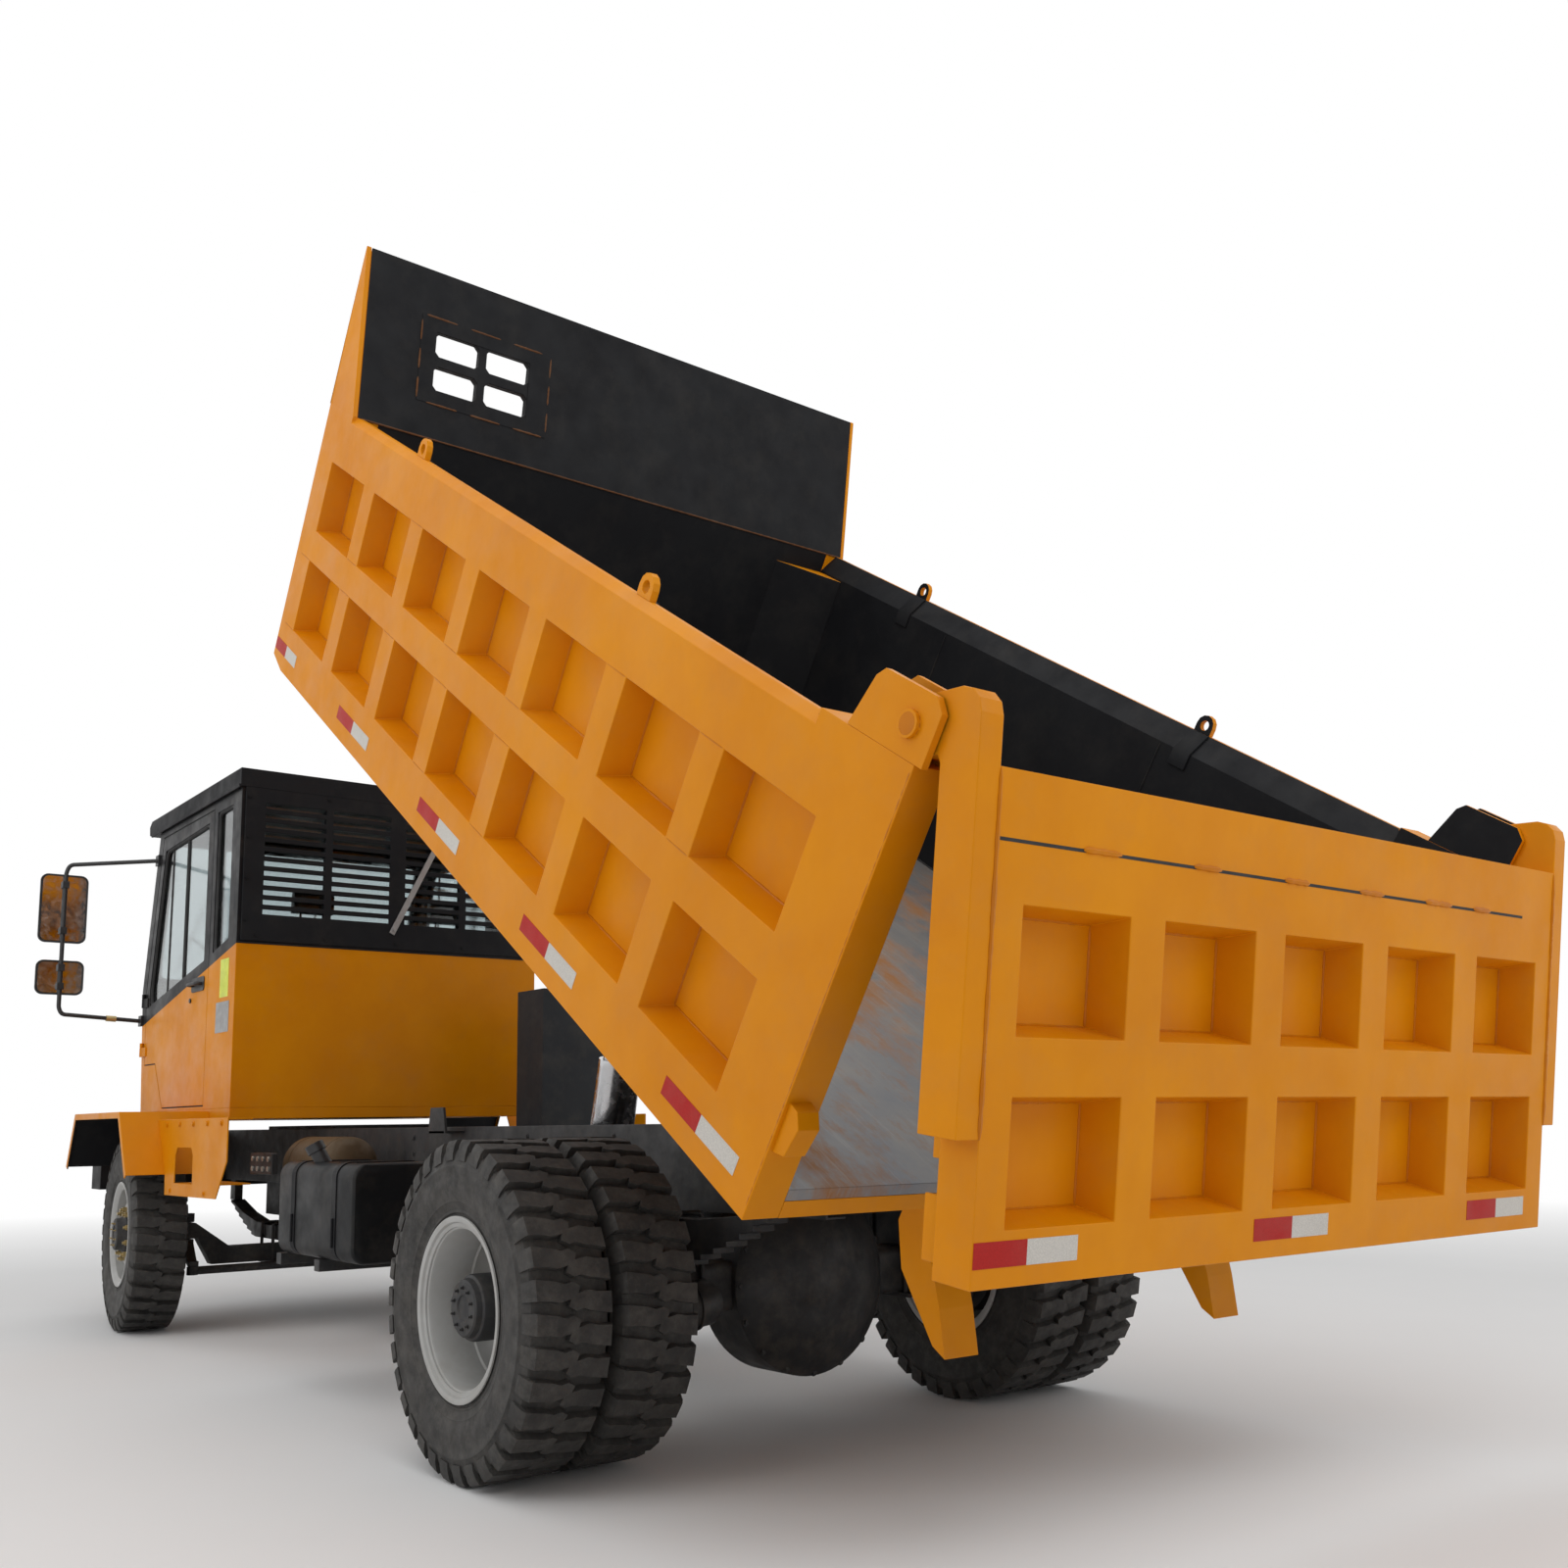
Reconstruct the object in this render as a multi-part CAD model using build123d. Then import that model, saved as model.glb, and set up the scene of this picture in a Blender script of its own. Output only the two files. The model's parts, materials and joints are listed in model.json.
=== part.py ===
from build123d import *
from math import cos, hypot, pi, radians, sin
import os

# Mining dump truck, two axles, cab over the front axle, bed raised and tailgate hanging.
# Millimetres. While it is drawn, X = 0 is the rear axle, +X is forward, +Y is left, Z = 0 is the ground.
# The bed and the tailgate are drawn in frames of their own and are then set on their hinges.
# Wheels, tubes and small bores are many-sided, which keeps the model light.

# Running gear
TYRE_R = 545.0
TYRE_W = 294.0
TYRE_BEAD_R = 266.0
TYRE_BULGE_R = 415.0
BEAD_INSET = 28.0
TREAD_DEPTH = 26.0
TREAD_W = 256.0
LUGS = 30
RIM_R = 297.0
RIM_WALL = 9.0
RIM_SIDES = 14
BARREL_R = 262.0
DISC_FLAT_R = 165.0
RIM_GAP = 1.5
HUB_R = 108.0
HAND_HOLES = 8
HAND_HOLE_R = 24.0
HAND_HOLE_AT = 192.0
DUAL_SPACING = 318.0
REAR_OUTER_Y = 1255.0
REAR_HUB_Y = REAR_OUTER_Y - DUAL_SPACING / 2
SPINDLE_R = 55.0
FRONT_X = 4643.0
FRONT_WHEEL_Y = 1147.0
STUB_R = 42.0
KINGPIN_Y = 915.0
KINGPIN_R = 22.0
STEER_ARM = 210.0
TIE_ROD_DROP = 215.0
# the front wheels as the photo shows them, turned a little to the right
STEER_AT = -4.5
RUN_GAP = 1.0
SPRING_W = 90.0
LEAF_STEP = 0.11
REAR_SPRING_Y = 545.0
FRONT_SPRING_Y = 375.0

# Frame
RAIL_Y = 420.0
RAIL_FLANGE = 85.0
RAIL_WEB = 9.0
RAIL_TOP = 1130.0
RAIL_H = 320.0
RAIL_REAR_X = -720.0
RAIL_FRONT_X = 5540.0
# rear face, length, low edge, high edge of each cross member
CROSS_MEMBERS = (
    (-700.0, 110.0, 850.0, 1090.0),
    (330.0, 110.0, 900.0, 1100.0),
    (1560.0, 110.0, 900.0, 1060.0),
    (2300.0, 110.0, 900.0, 1060.0),
    (2960.0, 110.0, 900.0, 1060.0),
    (5300.0, 140.0, 850.0, 1100.0),
)
BUMPER_X = (5540.0, 5760.0)
BUMPER_Z = (770.0, 1120.0)
BUMPER_HALF = 1190.0
TOW_X = 5800.0
TOW_Y = 360.0
TOW_Z = 840.0
TOW_T = 30.0
TOW_BORE = 24.0
RACK_Z = 578.0
RACK_X = (1745.0, 2215.0)
RACK_ARM = 60.0
DRUM_Z = 945.0
DRUM_R = 145.0

# Bed, in its own frame: u runs forward along the floor, w up from the lower edge of the sides
BED_TILT = 33.2
HINGE_X = -850.0
HINGE_Z = 1030.0
HINGE_U = 651.0
HINGE_W = -260.0
HINGE_TUBE_R = 42.0
BED_L = 4380.0
BED_HALF = 1360.0
SIDE_T = 114.0
SIDE_H = 1200.0
POST_U = 383.0
POST_CAP = 14.0
POST_TOP = SIDE_H + POST_CAP
BED_INNER = BED_HALF - SIDE_T
RAIL_BEVEL = 30.0
RAIL_CAP = 20.0
RAIL_SLOPE = 92.0
SKIN_T = 14.0
FLOOR_LOW = 50.0
FLOOR_TOP = 85.0
FRONT_DEPTH = 317.0
FRONT_T = 30.0
FRONT_RAIL_H = 80.0
FRONT_RIBS = 7
GUSSET_TIP = 9.0
GUSSET_T = 20.0
BOARD_H = 670.0
BOARD_T = 50.0
BOARD_U = BED_L - FRONT_DEPTH
BOARD_TOP_U = BED_L - GUSSET_TIP
BOARD_TOP_W = SIDE_H + BOARD_H
# middle and half width of each column of guard windows, low and high edge of each row up the board
BOARD_COLUMNS = ((915.0, 103.0), (670.0, 105.0))
BOARD_ROWS = ((218.0, 322.0), (368.0, 472.0))
# stiffeners behind the headboard, clear of its windows
FIN_END = BED_HALF - 230.0
FIN_Y = (-FIN_END, -765.0, -400.0, -35.0, 330.0, FIN_END)
POCKETS = 7
POCKET_FIRST_U = 262.0
POCKET_LAST_POST = 191.0
POCKET_RIB = 133.0
POCKET_PITCH = (BED_L - POCKET_FIRST_U - POCKET_LAST_POST + POCKET_RIB) / POCKETS
POCKET_L = POCKET_PITCH - POCKET_RIB
POCKET_INSET = 25.0
POCKET_SILL = 207.0
POCKET_LOWER_H = 328.0
POCKET_BAND = 132.0
POCKET_HEAD = 222.0
# lower and upper edge of each row of pockets
POCKET_ROWS = ((POCKET_SILL, POCKET_SILL + POCKET_LOWER_H),
               (POCKET_SILL + POCKET_LOWER_H + POCKET_BAND, SIDE_H - POCKET_HEAD))
BEAM_Y = 420.0
BEAM_W = 160.0
BEAM_LOW = -154.0
BEARER_LOW = -40.0
BEARER_L = 80.0
EYE_U = (POST_U + 997.0, BOARD_U - 773.0)
EYE_Y = BED_HALF - 40.0
EYE_R = 42.0
EYE_RISE = 32.0
EYE_BORE = 20.0
EYE_T = 24.0
HOOK_Y = 600.0
HOOK_T = 130.0

# Tailgate, in its own frame: s runs down from the pin, n back from the pin
PIN_U = 60.0
PIN_W = SIDE_H + 90.0
PIN_R = 22.0
EAR_INNER_T = 16.0
EAR_OUTER_T = 20.0
GATE_TILT = 7.5
GATE_FRONT = 75.0
GATE_REAR = 195.0
GATE_TOP = 94.0
GATE_LOW = PIN_W - 68.0
# the arms run between the ears, and their hooks pass over the side walls' posts
ARM_INNER_GAP = 3.0
ARM_OUTER_GAP = 5.0
HOOK_GAP = 6.0
HOOK_TIP = 60.0
GATE_HALF = BED_INNER + EAR_INNER_T + ARM_INNER_GAP
GATE_POCKETS = 5
GATE_END_POST = 95.5
GATE_RIB = 128.5
GATE_PITCH = (2 * (GATE_HALF - GATE_END_POST) + GATE_RIB) / GATE_POCKETS
GATE_POCKET = GATE_PITCH - GATE_RIB
GATE_HEAD = 388.0
GATE_UPPER_H = 289.0
GATE_BAND = 132.0
GATE_FOOT = 125.0
# upper and lower edge of each row of pockets
GATE_ROWS = ((GATE_HEAD, GATE_HEAD + GATE_UPPER_H),
             (GATE_HEAD + GATE_UPPER_H + GATE_BAND, GATE_LOW - GATE_FOOT))
GATE_POCKET_DEPTH = 105.0
GATE_POCKET_INSET = 22.0
SEAL_T = 12.0
SEAL_GAP = 6.0

# Cab
CAB_REAR = 3835.0
CAB_HALF = 940.0
CAB_LOW = 1192.0
CAB_WALL = 60.0
ROOF_TOP = 3182.0
ROOF_T = 108.0
ROOF_FRONT = 5728.0
ROOF_HALF = CAB_HALF + 12.0
SCREEN_HALF = CAB_HALF - 90.0
NOSE_LOW_X = 5656.0
BELT_X = 5750.0
BELT_Z = 2044.0
SCREEN_TOP_X = 5485.0
SCREEN_LOW = 2120.0
SCREEN_HIGH = 3010.0
DOOR = ((4335.0, 1275.0), (5180.0, 1275.0), (5378.0, 1558.0), (5618.0, 1558.0), (5652.0, 2040.0),
        (5400.0, 3020.0), (4335.0, 3020.0))
DOOR_WINDOW = ((4430.0, 2125.0), (5560.0, 1935.0), (5575.0, 2040.0), (5350.0, 2930.0), (4430.0, 2960.0))
QUARTER = ((3985.0, 2215.0), (4265.0, 2155.0), (4265.0, 2995.0), (3985.0, 2995.0))
DOOR_GAP = 8.0
DOOR_AXIS_X = 5664.0
DOOR_AXIS_Y = CAB_HALF + 14.0
DOOR_HINGE_Z = (1640.0, 1960.0)
GLASS_T = 8.0
REAR_WINDOW = ((-SCREEN_HALF, 2290.0), (SCREEN_HALF, 2290.0), (SCREEN_HALF, 3030.0),
               (-SCREEN_HALF, 3030.0))
GUARD_T = 12.0
GUARD_Z = (2190.0, 3074.0)
# middle of each column of slots on the left, and their half length
GUARD_COLUMNS = (227.5, CAB_HALF - 313.5)
GUARD_SLOT = (177.5, 14.0)
GUARD_FIRST_Z = 2358.0
GUARD_PITCH = 56.0
GUARD_ROWS = 12
ARCH = ((4015.0, 896.0), (4213.0, 1238.0), (5250.0, 1238.0), (5415.0, 922.0))
ARCH_Y = 1422.0
ARCH_T = 8.0
ARCH_LIP = 36.0
SKIRT_Y = 1212.0
SLATS = 6
SLAT_FIRST_Z = 1360.0
SLAT_PITCH = 85.0
SLAT_H = 48.0
SLAT_T = 24.0
SLAT_HALF = CAB_HALF - 320.0

# Hoist: two telescopic cylinders side by side between the rails
HOIST_X = 1100.0
HOIST_Z = 640.0
HOIST_Y = 210.0
HOIST_U = 2600.0
HOIST_W = -110.0
HOIST_R = (112.0, 94.0, 77.0, 60.0)
HOIST_PIN_R = 30.0
HOIST_EYE = 66.0
HOIST_HEAD = 130.0
HOIST_SIDES = 12
BARREL_LOW = -210.0
STAGES = 3


def block(x, y, z):
    """A box between two limits on each axis."""
    size = (x[1] - x[0], y[1] - y[0], z[1] - z[0])
    return Pos((x[0] + x[1]) / 2, (y[0] + y[1]) / 2, (z[0] + z[1]) / 2) * Box(*size)


def plate_y(outline, y):
    """An outline of (x, z) points, thick between two values of y."""
    face = make_face(Polyline(*[(px, y[0], pz) for px, pz in outline], close=True))
    return extrude(face, amount=y[1] - y[0], dir=(0, 1, 0))


def plate_x(outline, x):
    """An outline of (y, z) points, thick between two values of x."""
    face = make_face(Polyline(*[(x[0], py, pz) for py, pz in outline], close=True))
    return extrude(face, amount=x[1] - x[0], dir=(1, 0, 0))


def plate_z(outline, z):
    """An outline of (x, y) points, thick between two values of z."""
    face = make_face(Polyline(*[(px, py, z[0]) for px, py in outline], close=True))
    return extrude(face, amount=z[1] - z[0], dir=(0, 0, 1))


def peg_y(radius, y, x=0.0, z=0.0, sides=16):
    """A many-sided pin along Y, inside a round bar of its radius."""
    return extrude(Plane(origin=(x, y[0], z), z_dir=(0, 1, 0)) * RegularPolygon(radius, sides),
                   amount=y[1] - y[0])


def bar_y(radius, y, x=0.0, z=0.0):
    """A round bar along Y."""
    return Pos(x, (y[0] + y[1]) / 2, z) * Rot(90, 0, 0) * Cylinder(radius, y[1] - y[0])


def rod(a, b, radius, sides=8):
    """A many-sided bar from one point to another."""
    start, end = Vector(*a), Vector(*b)
    along = end - start
    plane = Plane(origin=start, z_dir=along)
    return extrude(plane * RegularPolygon(radius, sides), amount=along.length)


def bore_y(radius, y, x, z, sides=12):
    """A many-sided bore along Y that leaves a round bar of its radius free."""
    face = Plane(origin=(x, y[0], z), z_dir=(0, 1, 0)) * RegularPolygon(radius, sides, major_radius=False)
    return extrude(face, amount=y[1] - y[0])


def solid_between(low, high):
    """A solid between two outlines of matching points, with flat sides."""
    count = len(low)
    sides = [[low[i], low[(i + 1) % count], high[(i + 1) % count], high[i]] for i in range(count)]
    faces = [make_face(Polyline(*ring, close=True)) for ring in [list(low), list(high)] + sides]
    return Solid(Shell(faces))


def turned(outline, sides):
    """A closed outline of (radius, y) points, turned round the Y axis in flat steps."""
    step = 2 * pi / sides
    faces = []
    for i in range(sides):
        a, b = (i - 0.5) * step, (i + 0.5) * step
        for (r0, y0), (r1, y1) in zip(outline, outline[1:] + outline[:1]):
            if r0 or r1:
                ring = [(r0 * cos(a), y0, r0 * sin(a)), (r1 * cos(a), y1, r1 * sin(a))]
                ring += [(r1 * cos(b), y1, r1 * sin(b))] if r1 else []
                ring += [(r0 * cos(b), y0, r0 * sin(b))] if r0 else []
                faces.append(make_face(Polyline(*ring, close=True)))
    return Solid(Shell(faces))


def shifted(path, depth, closed=False):
    """A path of flat points moved to its left by a depth, corners mitred."""
    count = len(path)
    normals = []
    for i in range(count if closed else count - 1):
        (ax, ay), (bx, by) = path[i], path[(i + 1) % count]
        length = hypot(bx - ax, by - ay)
        normals.append(((ay - by) / length, (bx - ax) / length))
    moved = []
    for i, (px, py) in enumerate(path):
        before = normals[i - 1] if i or closed else normals[0]
        after = normals[i] if i < len(normals) else normals[-1]
        share = depth / (1 + before[0] * after[0] + before[1] * after[1])
        moved.append((px + share * (before[0] + after[0]), py + share * (before[1] + after[1])))
    return moved


def mirrored(shape):
    return mirror(shape, about=Plane.XZ)


def pair(shape):
    """The left piece and its mirror image."""
    return [shape, mirrored(shape)]


def joined(shapes):
    """Shapes that touch, fused into one solid."""
    whole = shapes[0]
    return whole.fuse(*shapes[1:]).clean() if len(shapes) > 1 else whole


def in_bed(shape):
    """From the bed's own frame to its raised place on the chassis."""
    return Pos(HINGE_X, 0, HINGE_Z) * Rot(0, -BED_TILT, 0) * Pos(-HINGE_U, 0, -HINGE_W) * shape


def bed_point(u, w):
    """Where a point of the bed's own frame lies on the chassis."""
    du, dw = u - HINGE_U, w - HINGE_W
    c, s = cos(radians(BED_TILT)), sin(radians(BED_TILT))
    return HINGE_X + du * c - dw * s, HINGE_Z + du * s + dw * c


def in_gate(shape):
    """From the tailgate's own frame, pin at its origin, to its hanging place."""
    x, z = bed_point(PIN_U, PIN_W)
    return Pos(x, 0, z) * Rot(0, -GATE_TILT, 0) * shape


# Wheels

def tread():
    """A ring of lugs across the tyre, open inside."""
    points = []
    for i in range(LUGS):
        for share, radius in ((-0.37, TYRE_R - TREAD_DEPTH), (-0.28, TYRE_R), (0.28, TYRE_R),
                              (0.37, TYRE_R - TREAD_DEPTH)):
            a = 2 * pi * (i + share) / LUGS
            points.append((radius * cos(a), radius * sin(a)))
    half = TREAD_W / 2
    inside = TYRE_R - TREAD_DEPTH - 14
    core = turned([(inside, half + 2), (0, half + 2), (0, -half - 2), (inside, -half - 2)], LUGS)
    return plate_y(points, (-half, half)) - core


def tyre():
    """A tyre on its own centre, axis along Y."""
    half = TYRE_W / 2
    wall = [(TYRE_BEAD_R, half - BEAD_INSET), (TYRE_BULGE_R, half), (TYRE_R - TREAD_DEPTH - 4, TREAD_W / 2)]
    carcass = turned(wall + [(r, -y) for r, y in reversed(wall)], LUGS)
    return joined([carcass, tread()])


def flange_places():
    """Y of a rim's seat, of its flange's edge towards the tyre's wall, and of its lip."""
    bead = TYRE_W / 2 - BEAD_INSET
    slope = BEAD_INSET / (TYRE_BULGE_R - TYRE_BEAD_R)
    seat = bead + slope * (BARREL_R - TYRE_BEAD_R) + RIM_GAP
    flange = bead + slope * (RIM_R - TYRE_BEAD_R) + RIM_GAP
    return seat, flange, flange + RIM_WALL


def front_rim():
    """Front wheel rim with its hub and a ring of hand holes; +Y is outward."""
    seat, flange, lip = flange_places()
    inner = BARREL_R - RIM_WALL
    disc_y, join_y = 88.0, 40.0
    front, bore = 160.0, STUB_R + 5
    hub = [(HUB_R, disc_y + RIM_WALL), (HUB_R - 20, front), (0, front), (0, front - 18), (bore, front - 18),
           (bore, -110), (HUB_R, -110), (HUB_R, disc_y - RIM_WALL)]
    body = turned([(RIM_R, flange), (RIM_R, lip), (inner, lip), (inner, join_y + RIM_WALL)] + hub
                  + [(inner, join_y - RIM_WALL), (inner, -lip), (RIM_R, -lip), (RIM_R, -flange),
                     (BARREL_R, -seat), (BARREL_R, seat)], RIM_SIDES)
    hole = bore_y(HAND_HOLE_R, (0, 120), HAND_HOLE_AT, 0, 6)
    return body - [Rot(0, (i + 0.5) * 360 / HAND_HOLES, 0) * hole for i in range(HAND_HOLES)]


def twin_rims():
    """Two rear rims, disc to disc, with the hub; the origin is halfway between the tyres."""
    half = DUAL_SPACING / 2
    seat, flange, lip = flange_places()
    inner = BARREL_R - RIM_WALL
    join, bore = 60.0, SPINDLE_R + 6
    outer_rim = [(HUB_R, RIM_WALL), (DISC_FLAT_R, RIM_WALL), (inner, join + RIM_WALL), (inner, half + lip),
                 (RIM_R, half + lip), (RIM_R, half + flange), (BARREL_R, half + seat),
                 (BARREL_R, half - seat), (RIM_R, half - flange), (RIM_R, half - lip),
                 (inner, half - lip), (inner, join - RIM_WALL), (DISC_FLAT_R + RIM_WALL, 0)]
    inner_rim = [(r, -y) for r, y in reversed(outer_rim[:-1])]
    cap, front = 250.0, 268.0
    hub = [(HUB_R, -260), (bore, -260), (bore, cap), (0, cap), (0, front), (HUB_R - 16, front),
           (HUB_R, 240)]
    return turned(outer_rim + inner_rim + hub, RIM_SIDES)


# Bed

def recess(mouth, depth, inset, place):
    """A recess with flat sloping sides: mouth is two ranges, place sets a flat point at a depth."""
    (a0, a1), (b0, b1) = mouth
    low = [place(a, b, 0) for a, b in ((a0, b0), (a1, b0), (a1, b1), (a0, b1))]
    high = [place(a, b, depth) for a, b in ((a0 + inset, b0 + inset), (a1 - inset, b0 + inset),
                                            (a1 - inset, b1 - inset), (a0 + inset, b1 - inset))]
    return solid_between(low, high)


def bed_side():
    """Left side wall: a slab with two rows of recesses, a tall rear post and a bevelled rail on top."""
    outline = [(0, 0), (BED_L - 142, 0), (BED_L, 36), (BED_L, SIDE_H), (POST_U, SIDE_H),
               (POST_U, POST_TOP), (0, POST_TOP)]
    slab = plate_y(outline, (BED_INNER, BED_HALF))
    cuts = []
    for row in POCKET_ROWS:
        for i in range(POCKETS):
            start = POCKET_FIRST_U + i * POCKET_PITCH
            cuts.append(recess(((start, start + POCKET_L), row), SIDE_T - SKIN_T, POCKET_INSET,
                               lambda u, w, depth: (u, BED_HALF - depth, w)))
    along = (POST_U, BOARD_U)
    edge = BED_HALF - RAIL_BEVEL
    cuts.append(plate_x([(edge, SIDE_H + 1), (BED_HALF + 1, SIDE_H + 1),
                         (BED_HALF + 1, SIDE_H - RAIL_BEVEL)], along))
    cuts.append(plate_x([(BED_INNER - 1, SIDE_H - RAIL_SLOPE), (edge - RAIL_CAP, SIDE_H + 1),
                         (BED_INNER - 1, SIDE_H + 1)], along))
    gusset = plate_y([(BOARD_U, SIDE_H), (BED_L, SIDE_H), (BED_L, BOARD_TOP_W), (BOARD_TOP_U, BOARD_TOP_W)],
                     (BED_HALF - GUSSET_T, BED_HALF))
    return [slab - cuts, gusset]


def board_back():
    """The headboard's thickness along the floor."""
    run_u, run_w = BOARD_TOP_U - BOARD_U, BOARD_TOP_W - SIDE_H
    return BOARD_T * hypot(run_u, run_w) / run_w


def bed_front():
    """Front wall with its ribs, and the headboard that leans over the cab, each piece a solid of its own."""
    inner = BED_INNER
    run_u, run_w = BOARD_TOP_U - BOARD_U, BOARD_TOP_W - SIDE_H
    back = board_back()
    wall_u, rail_u, rail_low = BOARD_U + FRONT_T, BED_L - 40, SIDE_H - FRONT_RAIL_H
    parts = [block((BOARD_U, wall_u), (-inner, inner), (FLOOR_LOW, SIDE_H)),
             block((wall_u, rail_u), (-inner, inner), (rail_low, SIDE_H))]
    half = BED_HALF - GUSSET_T
    board = plate_y([(BOARD_U, SIDE_H), (BOARD_U + back, SIDE_H),
                     (BOARD_TOP_U + back - 60, BOARD_TOP_W - 60), (BOARD_TOP_U, BOARD_TOP_W)], (-half, half))
    board -= board_windows()
    parts.append(board)
    first = inner - 60
    for i in range(FRONT_RIBS):
        y = -first + i * 2 * first / (FRONT_RIBS - 1)
        parts.append(block((wall_u, BOARD_U + 150), (y - 40, y + 40), (FLOOR_LOW, rail_low)))
    fin_high = SIDE_H + (rail_u - BOARD_U - back) * run_w / run_u
    for y in FIN_Y:
        parts.append(plate_y([(BOARD_U + back, SIDE_H), (rail_u, SIDE_H), (rail_u, fin_high)],
                             (y - 10, y + 10)))
    filler = plate_z([(BOARD_U, inner - 300), (BOARD_U, inner), (BOARD_U - 200, inner)],
                     (FLOOR_TOP, SIDE_H - 100))
    return parts + pair(filler)


def board_windows():
    """Four openings with cut corners, through the headboard's left half."""
    run_u, run_w = BOARD_TOP_U - BOARD_U, BOARD_TOP_W - SIDE_H
    length = hypot(run_u, run_w)
    plane = Plane(origin=(BOARD_U, 0, SIDE_H), x_dir=(0, 1, 0), z_dir=(run_w, 0, -run_u))
    cuts = []
    for middle, half in BOARD_COLUMNS:
        for low, high in BOARD_ROWS:
            left, right, corner = middle - half, middle + half, 18
            ring = [(left, low + corner), (left + corner, low), (right - corner, low), (right, low + corner),
                    (right, high - corner), (right - corner, high), (left + corner, high),
                    (left, high - corner)]
            world = [(BOARD_U + along * run_u / length, y, SIDE_H + along * run_w / length)
                     for y, along in ring]
            face = make_face(Polyline(*world, close=True))
            cuts.append(extrude(face, amount=300, dir=tuple(plane.z_dir), both=True))
    return cuts


def bed_floor():
    return block((0, BOARD_U), (-BED_INNER, BED_INNER), (FLOOR_LOW, FLOOR_TOP))


def bed_beams():
    """Long beams with bearers between and beside them, rear sill, hinge lugs, the hoist's tube, claws."""
    inner = BED_INNER
    near, far = BEAM_Y - BEAM_W / 2, BEAM_Y + BEAM_W / 2
    sill = 100
    parts = [block((0, sill), (-inner, inner), (0, FLOOR_LOW))]
    for i in range(POCKETS + 1):
        u = POCKET_FIRST_U - (POCKET_PITCH - POCKET_L) / 2 + i * POCKET_PITCH
        across = (u - BEARER_L / 2, u + BEARER_L / 2)
        parts += pair(block(across, (far, inner), (BEARER_LOW, FLOOR_LOW)))
        if i % 2:
            parts.append(block(across, (-near, near), (BEARER_LOW, FLOOR_LOW)))
    parts += pair(block((sill, BED_L - 60), (near, far), (BEAM_LOW, FLOOR_LOW)))
    for y in (near, far - 36):
        lug = plate_y([(HINGE_U - 110, BEAM_LOW), (HINGE_U + 110, BEAM_LOW), (HINGE_U + 60, HINGE_W - 60),
                       (HINGE_U - 60, HINGE_W - 60)], (y, y + 36))
        parts += pair(lug - bore_y(HINGE_TUBE_R + RUN_GAP, (y - 5, y + 41), HINGE_U, HINGE_W))
    parts.append(rod((HOIST_U, -near, HOIST_W), (HOIST_U, near, HOIST_W), HOIST_PIN_R, 12))
    claw = plate_y([(20, 0), (140, 0), (140, -140), (60, -250), (-150, -353), (-206, -353), (-120, -250),
                    (20, -110)], (HOOK_Y - HOOK_T / 2, HOOK_Y + HOOK_T / 2))
    return parts + pair(claw)


def bed_fittings():
    """Lifting eyes on the rails, and the ears and pins that carry the tailgate."""
    pieces = []
    y = (EYE_Y - EYE_T / 2, EYE_Y + EYE_T / 2)
    for u in EYE_U:
        arc = [radians(a) for a in range(0, 181, 30)]
        head = [(u + EYE_R * cos(a), SIDE_H + EYE_RISE + EYE_R * sin(a)) for a in arc]
        eye = plate_y([(u - EYE_R, SIDE_H), (u + EYE_R, SIDE_H)] + head, y)
        pieces += pair(eye - bar_y(EYE_BORE, (y[0] - 9, y[1] + 9), u, SIDE_H + EYE_RISE))
    low = POST_TOP
    outline = [(-25, low), (270, low), (230, low + 135), (205, low + 160), (10, low + 160),
               (-25, low + 130)]
    ears = [plate_y(outline, y) for y in ((BED_INNER, BED_INNER + EAR_INNER_T),
                                          (BED_HALF - EAR_OUTER_T, BED_HALF))]
    pin = peg_y(PIN_R, (BED_INNER + 10, BED_HALF - 10), PIN_U, PIN_W)
    head = peg_y(PIN_R + 12, (BED_HALF, BED_HALF + 12), PIN_U, PIN_W, 12)
    return pieces + pair(joined(ears + [pin, head]))


# Tailgate

def gate_panel():
    """The tailgate's slab with two rows of recesses, its seal plates and their cheeks."""
    slab = block((-GATE_REAR, -GATE_FRONT), (-GATE_HALF, GATE_HALF), (-GATE_LOW, -GATE_TOP))
    cuts = []
    for upper, lower in GATE_ROWS:
        for i in range(GATE_POCKETS):
            y = (i - GATE_POCKETS // 2) * GATE_PITCH
            mouth = ((y - GATE_POCKET / 2, y + GATE_POCKET / 2), (-lower, -upper))
            cuts.append(recess(mouth, GATE_POCKET_DEPTH, GATE_POCKET_INSET,
                               lambda across, up, depth: (depth - GATE_REAR, across, up)))
    plate = (BED_INNER - SEAL_GAP - SEAL_T, BED_INNER - SEAL_GAP)
    seal = block((-GATE_FRONT, -30), plate, (262 - GATE_LOW, -250))
    cheek = block((-GATE_FRONT, -12), plate, (32 - GATE_LOW, 182 - GATE_LOW))
    return [slab - cuts] + pair(seal) + pair(cheek)


def gate_arms():
    """Plates on the tailgate's ends, round on top, that hook forward to the pins."""
    y = (GATE_HALF, BED_HALF - EAR_OUTER_T - ARM_OUTER_GAP)
    back, front = -GATE_REAR, -GATE_FRONT
    rest, tip = POST_TOP + HOOK_GAP - PIN_W, HOOK_TIP
    arm = plate_y([(back, -900), (front, -900), (front, rest - 20), (front + 9, rest), (0, rest),
                   (0.7 * tip, 0.7 * rest), (tip, -30), (tip, 22), (10, 66), (back + 60, 76),
                   (back + 30, 68), (back + 8, 46), (back, 15)], y)
    return pair(arm - bore_y(PIN_R + RUN_GAP, (y[0] - 10, y[1] + 10), 0, 0))


# Chassis

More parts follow.
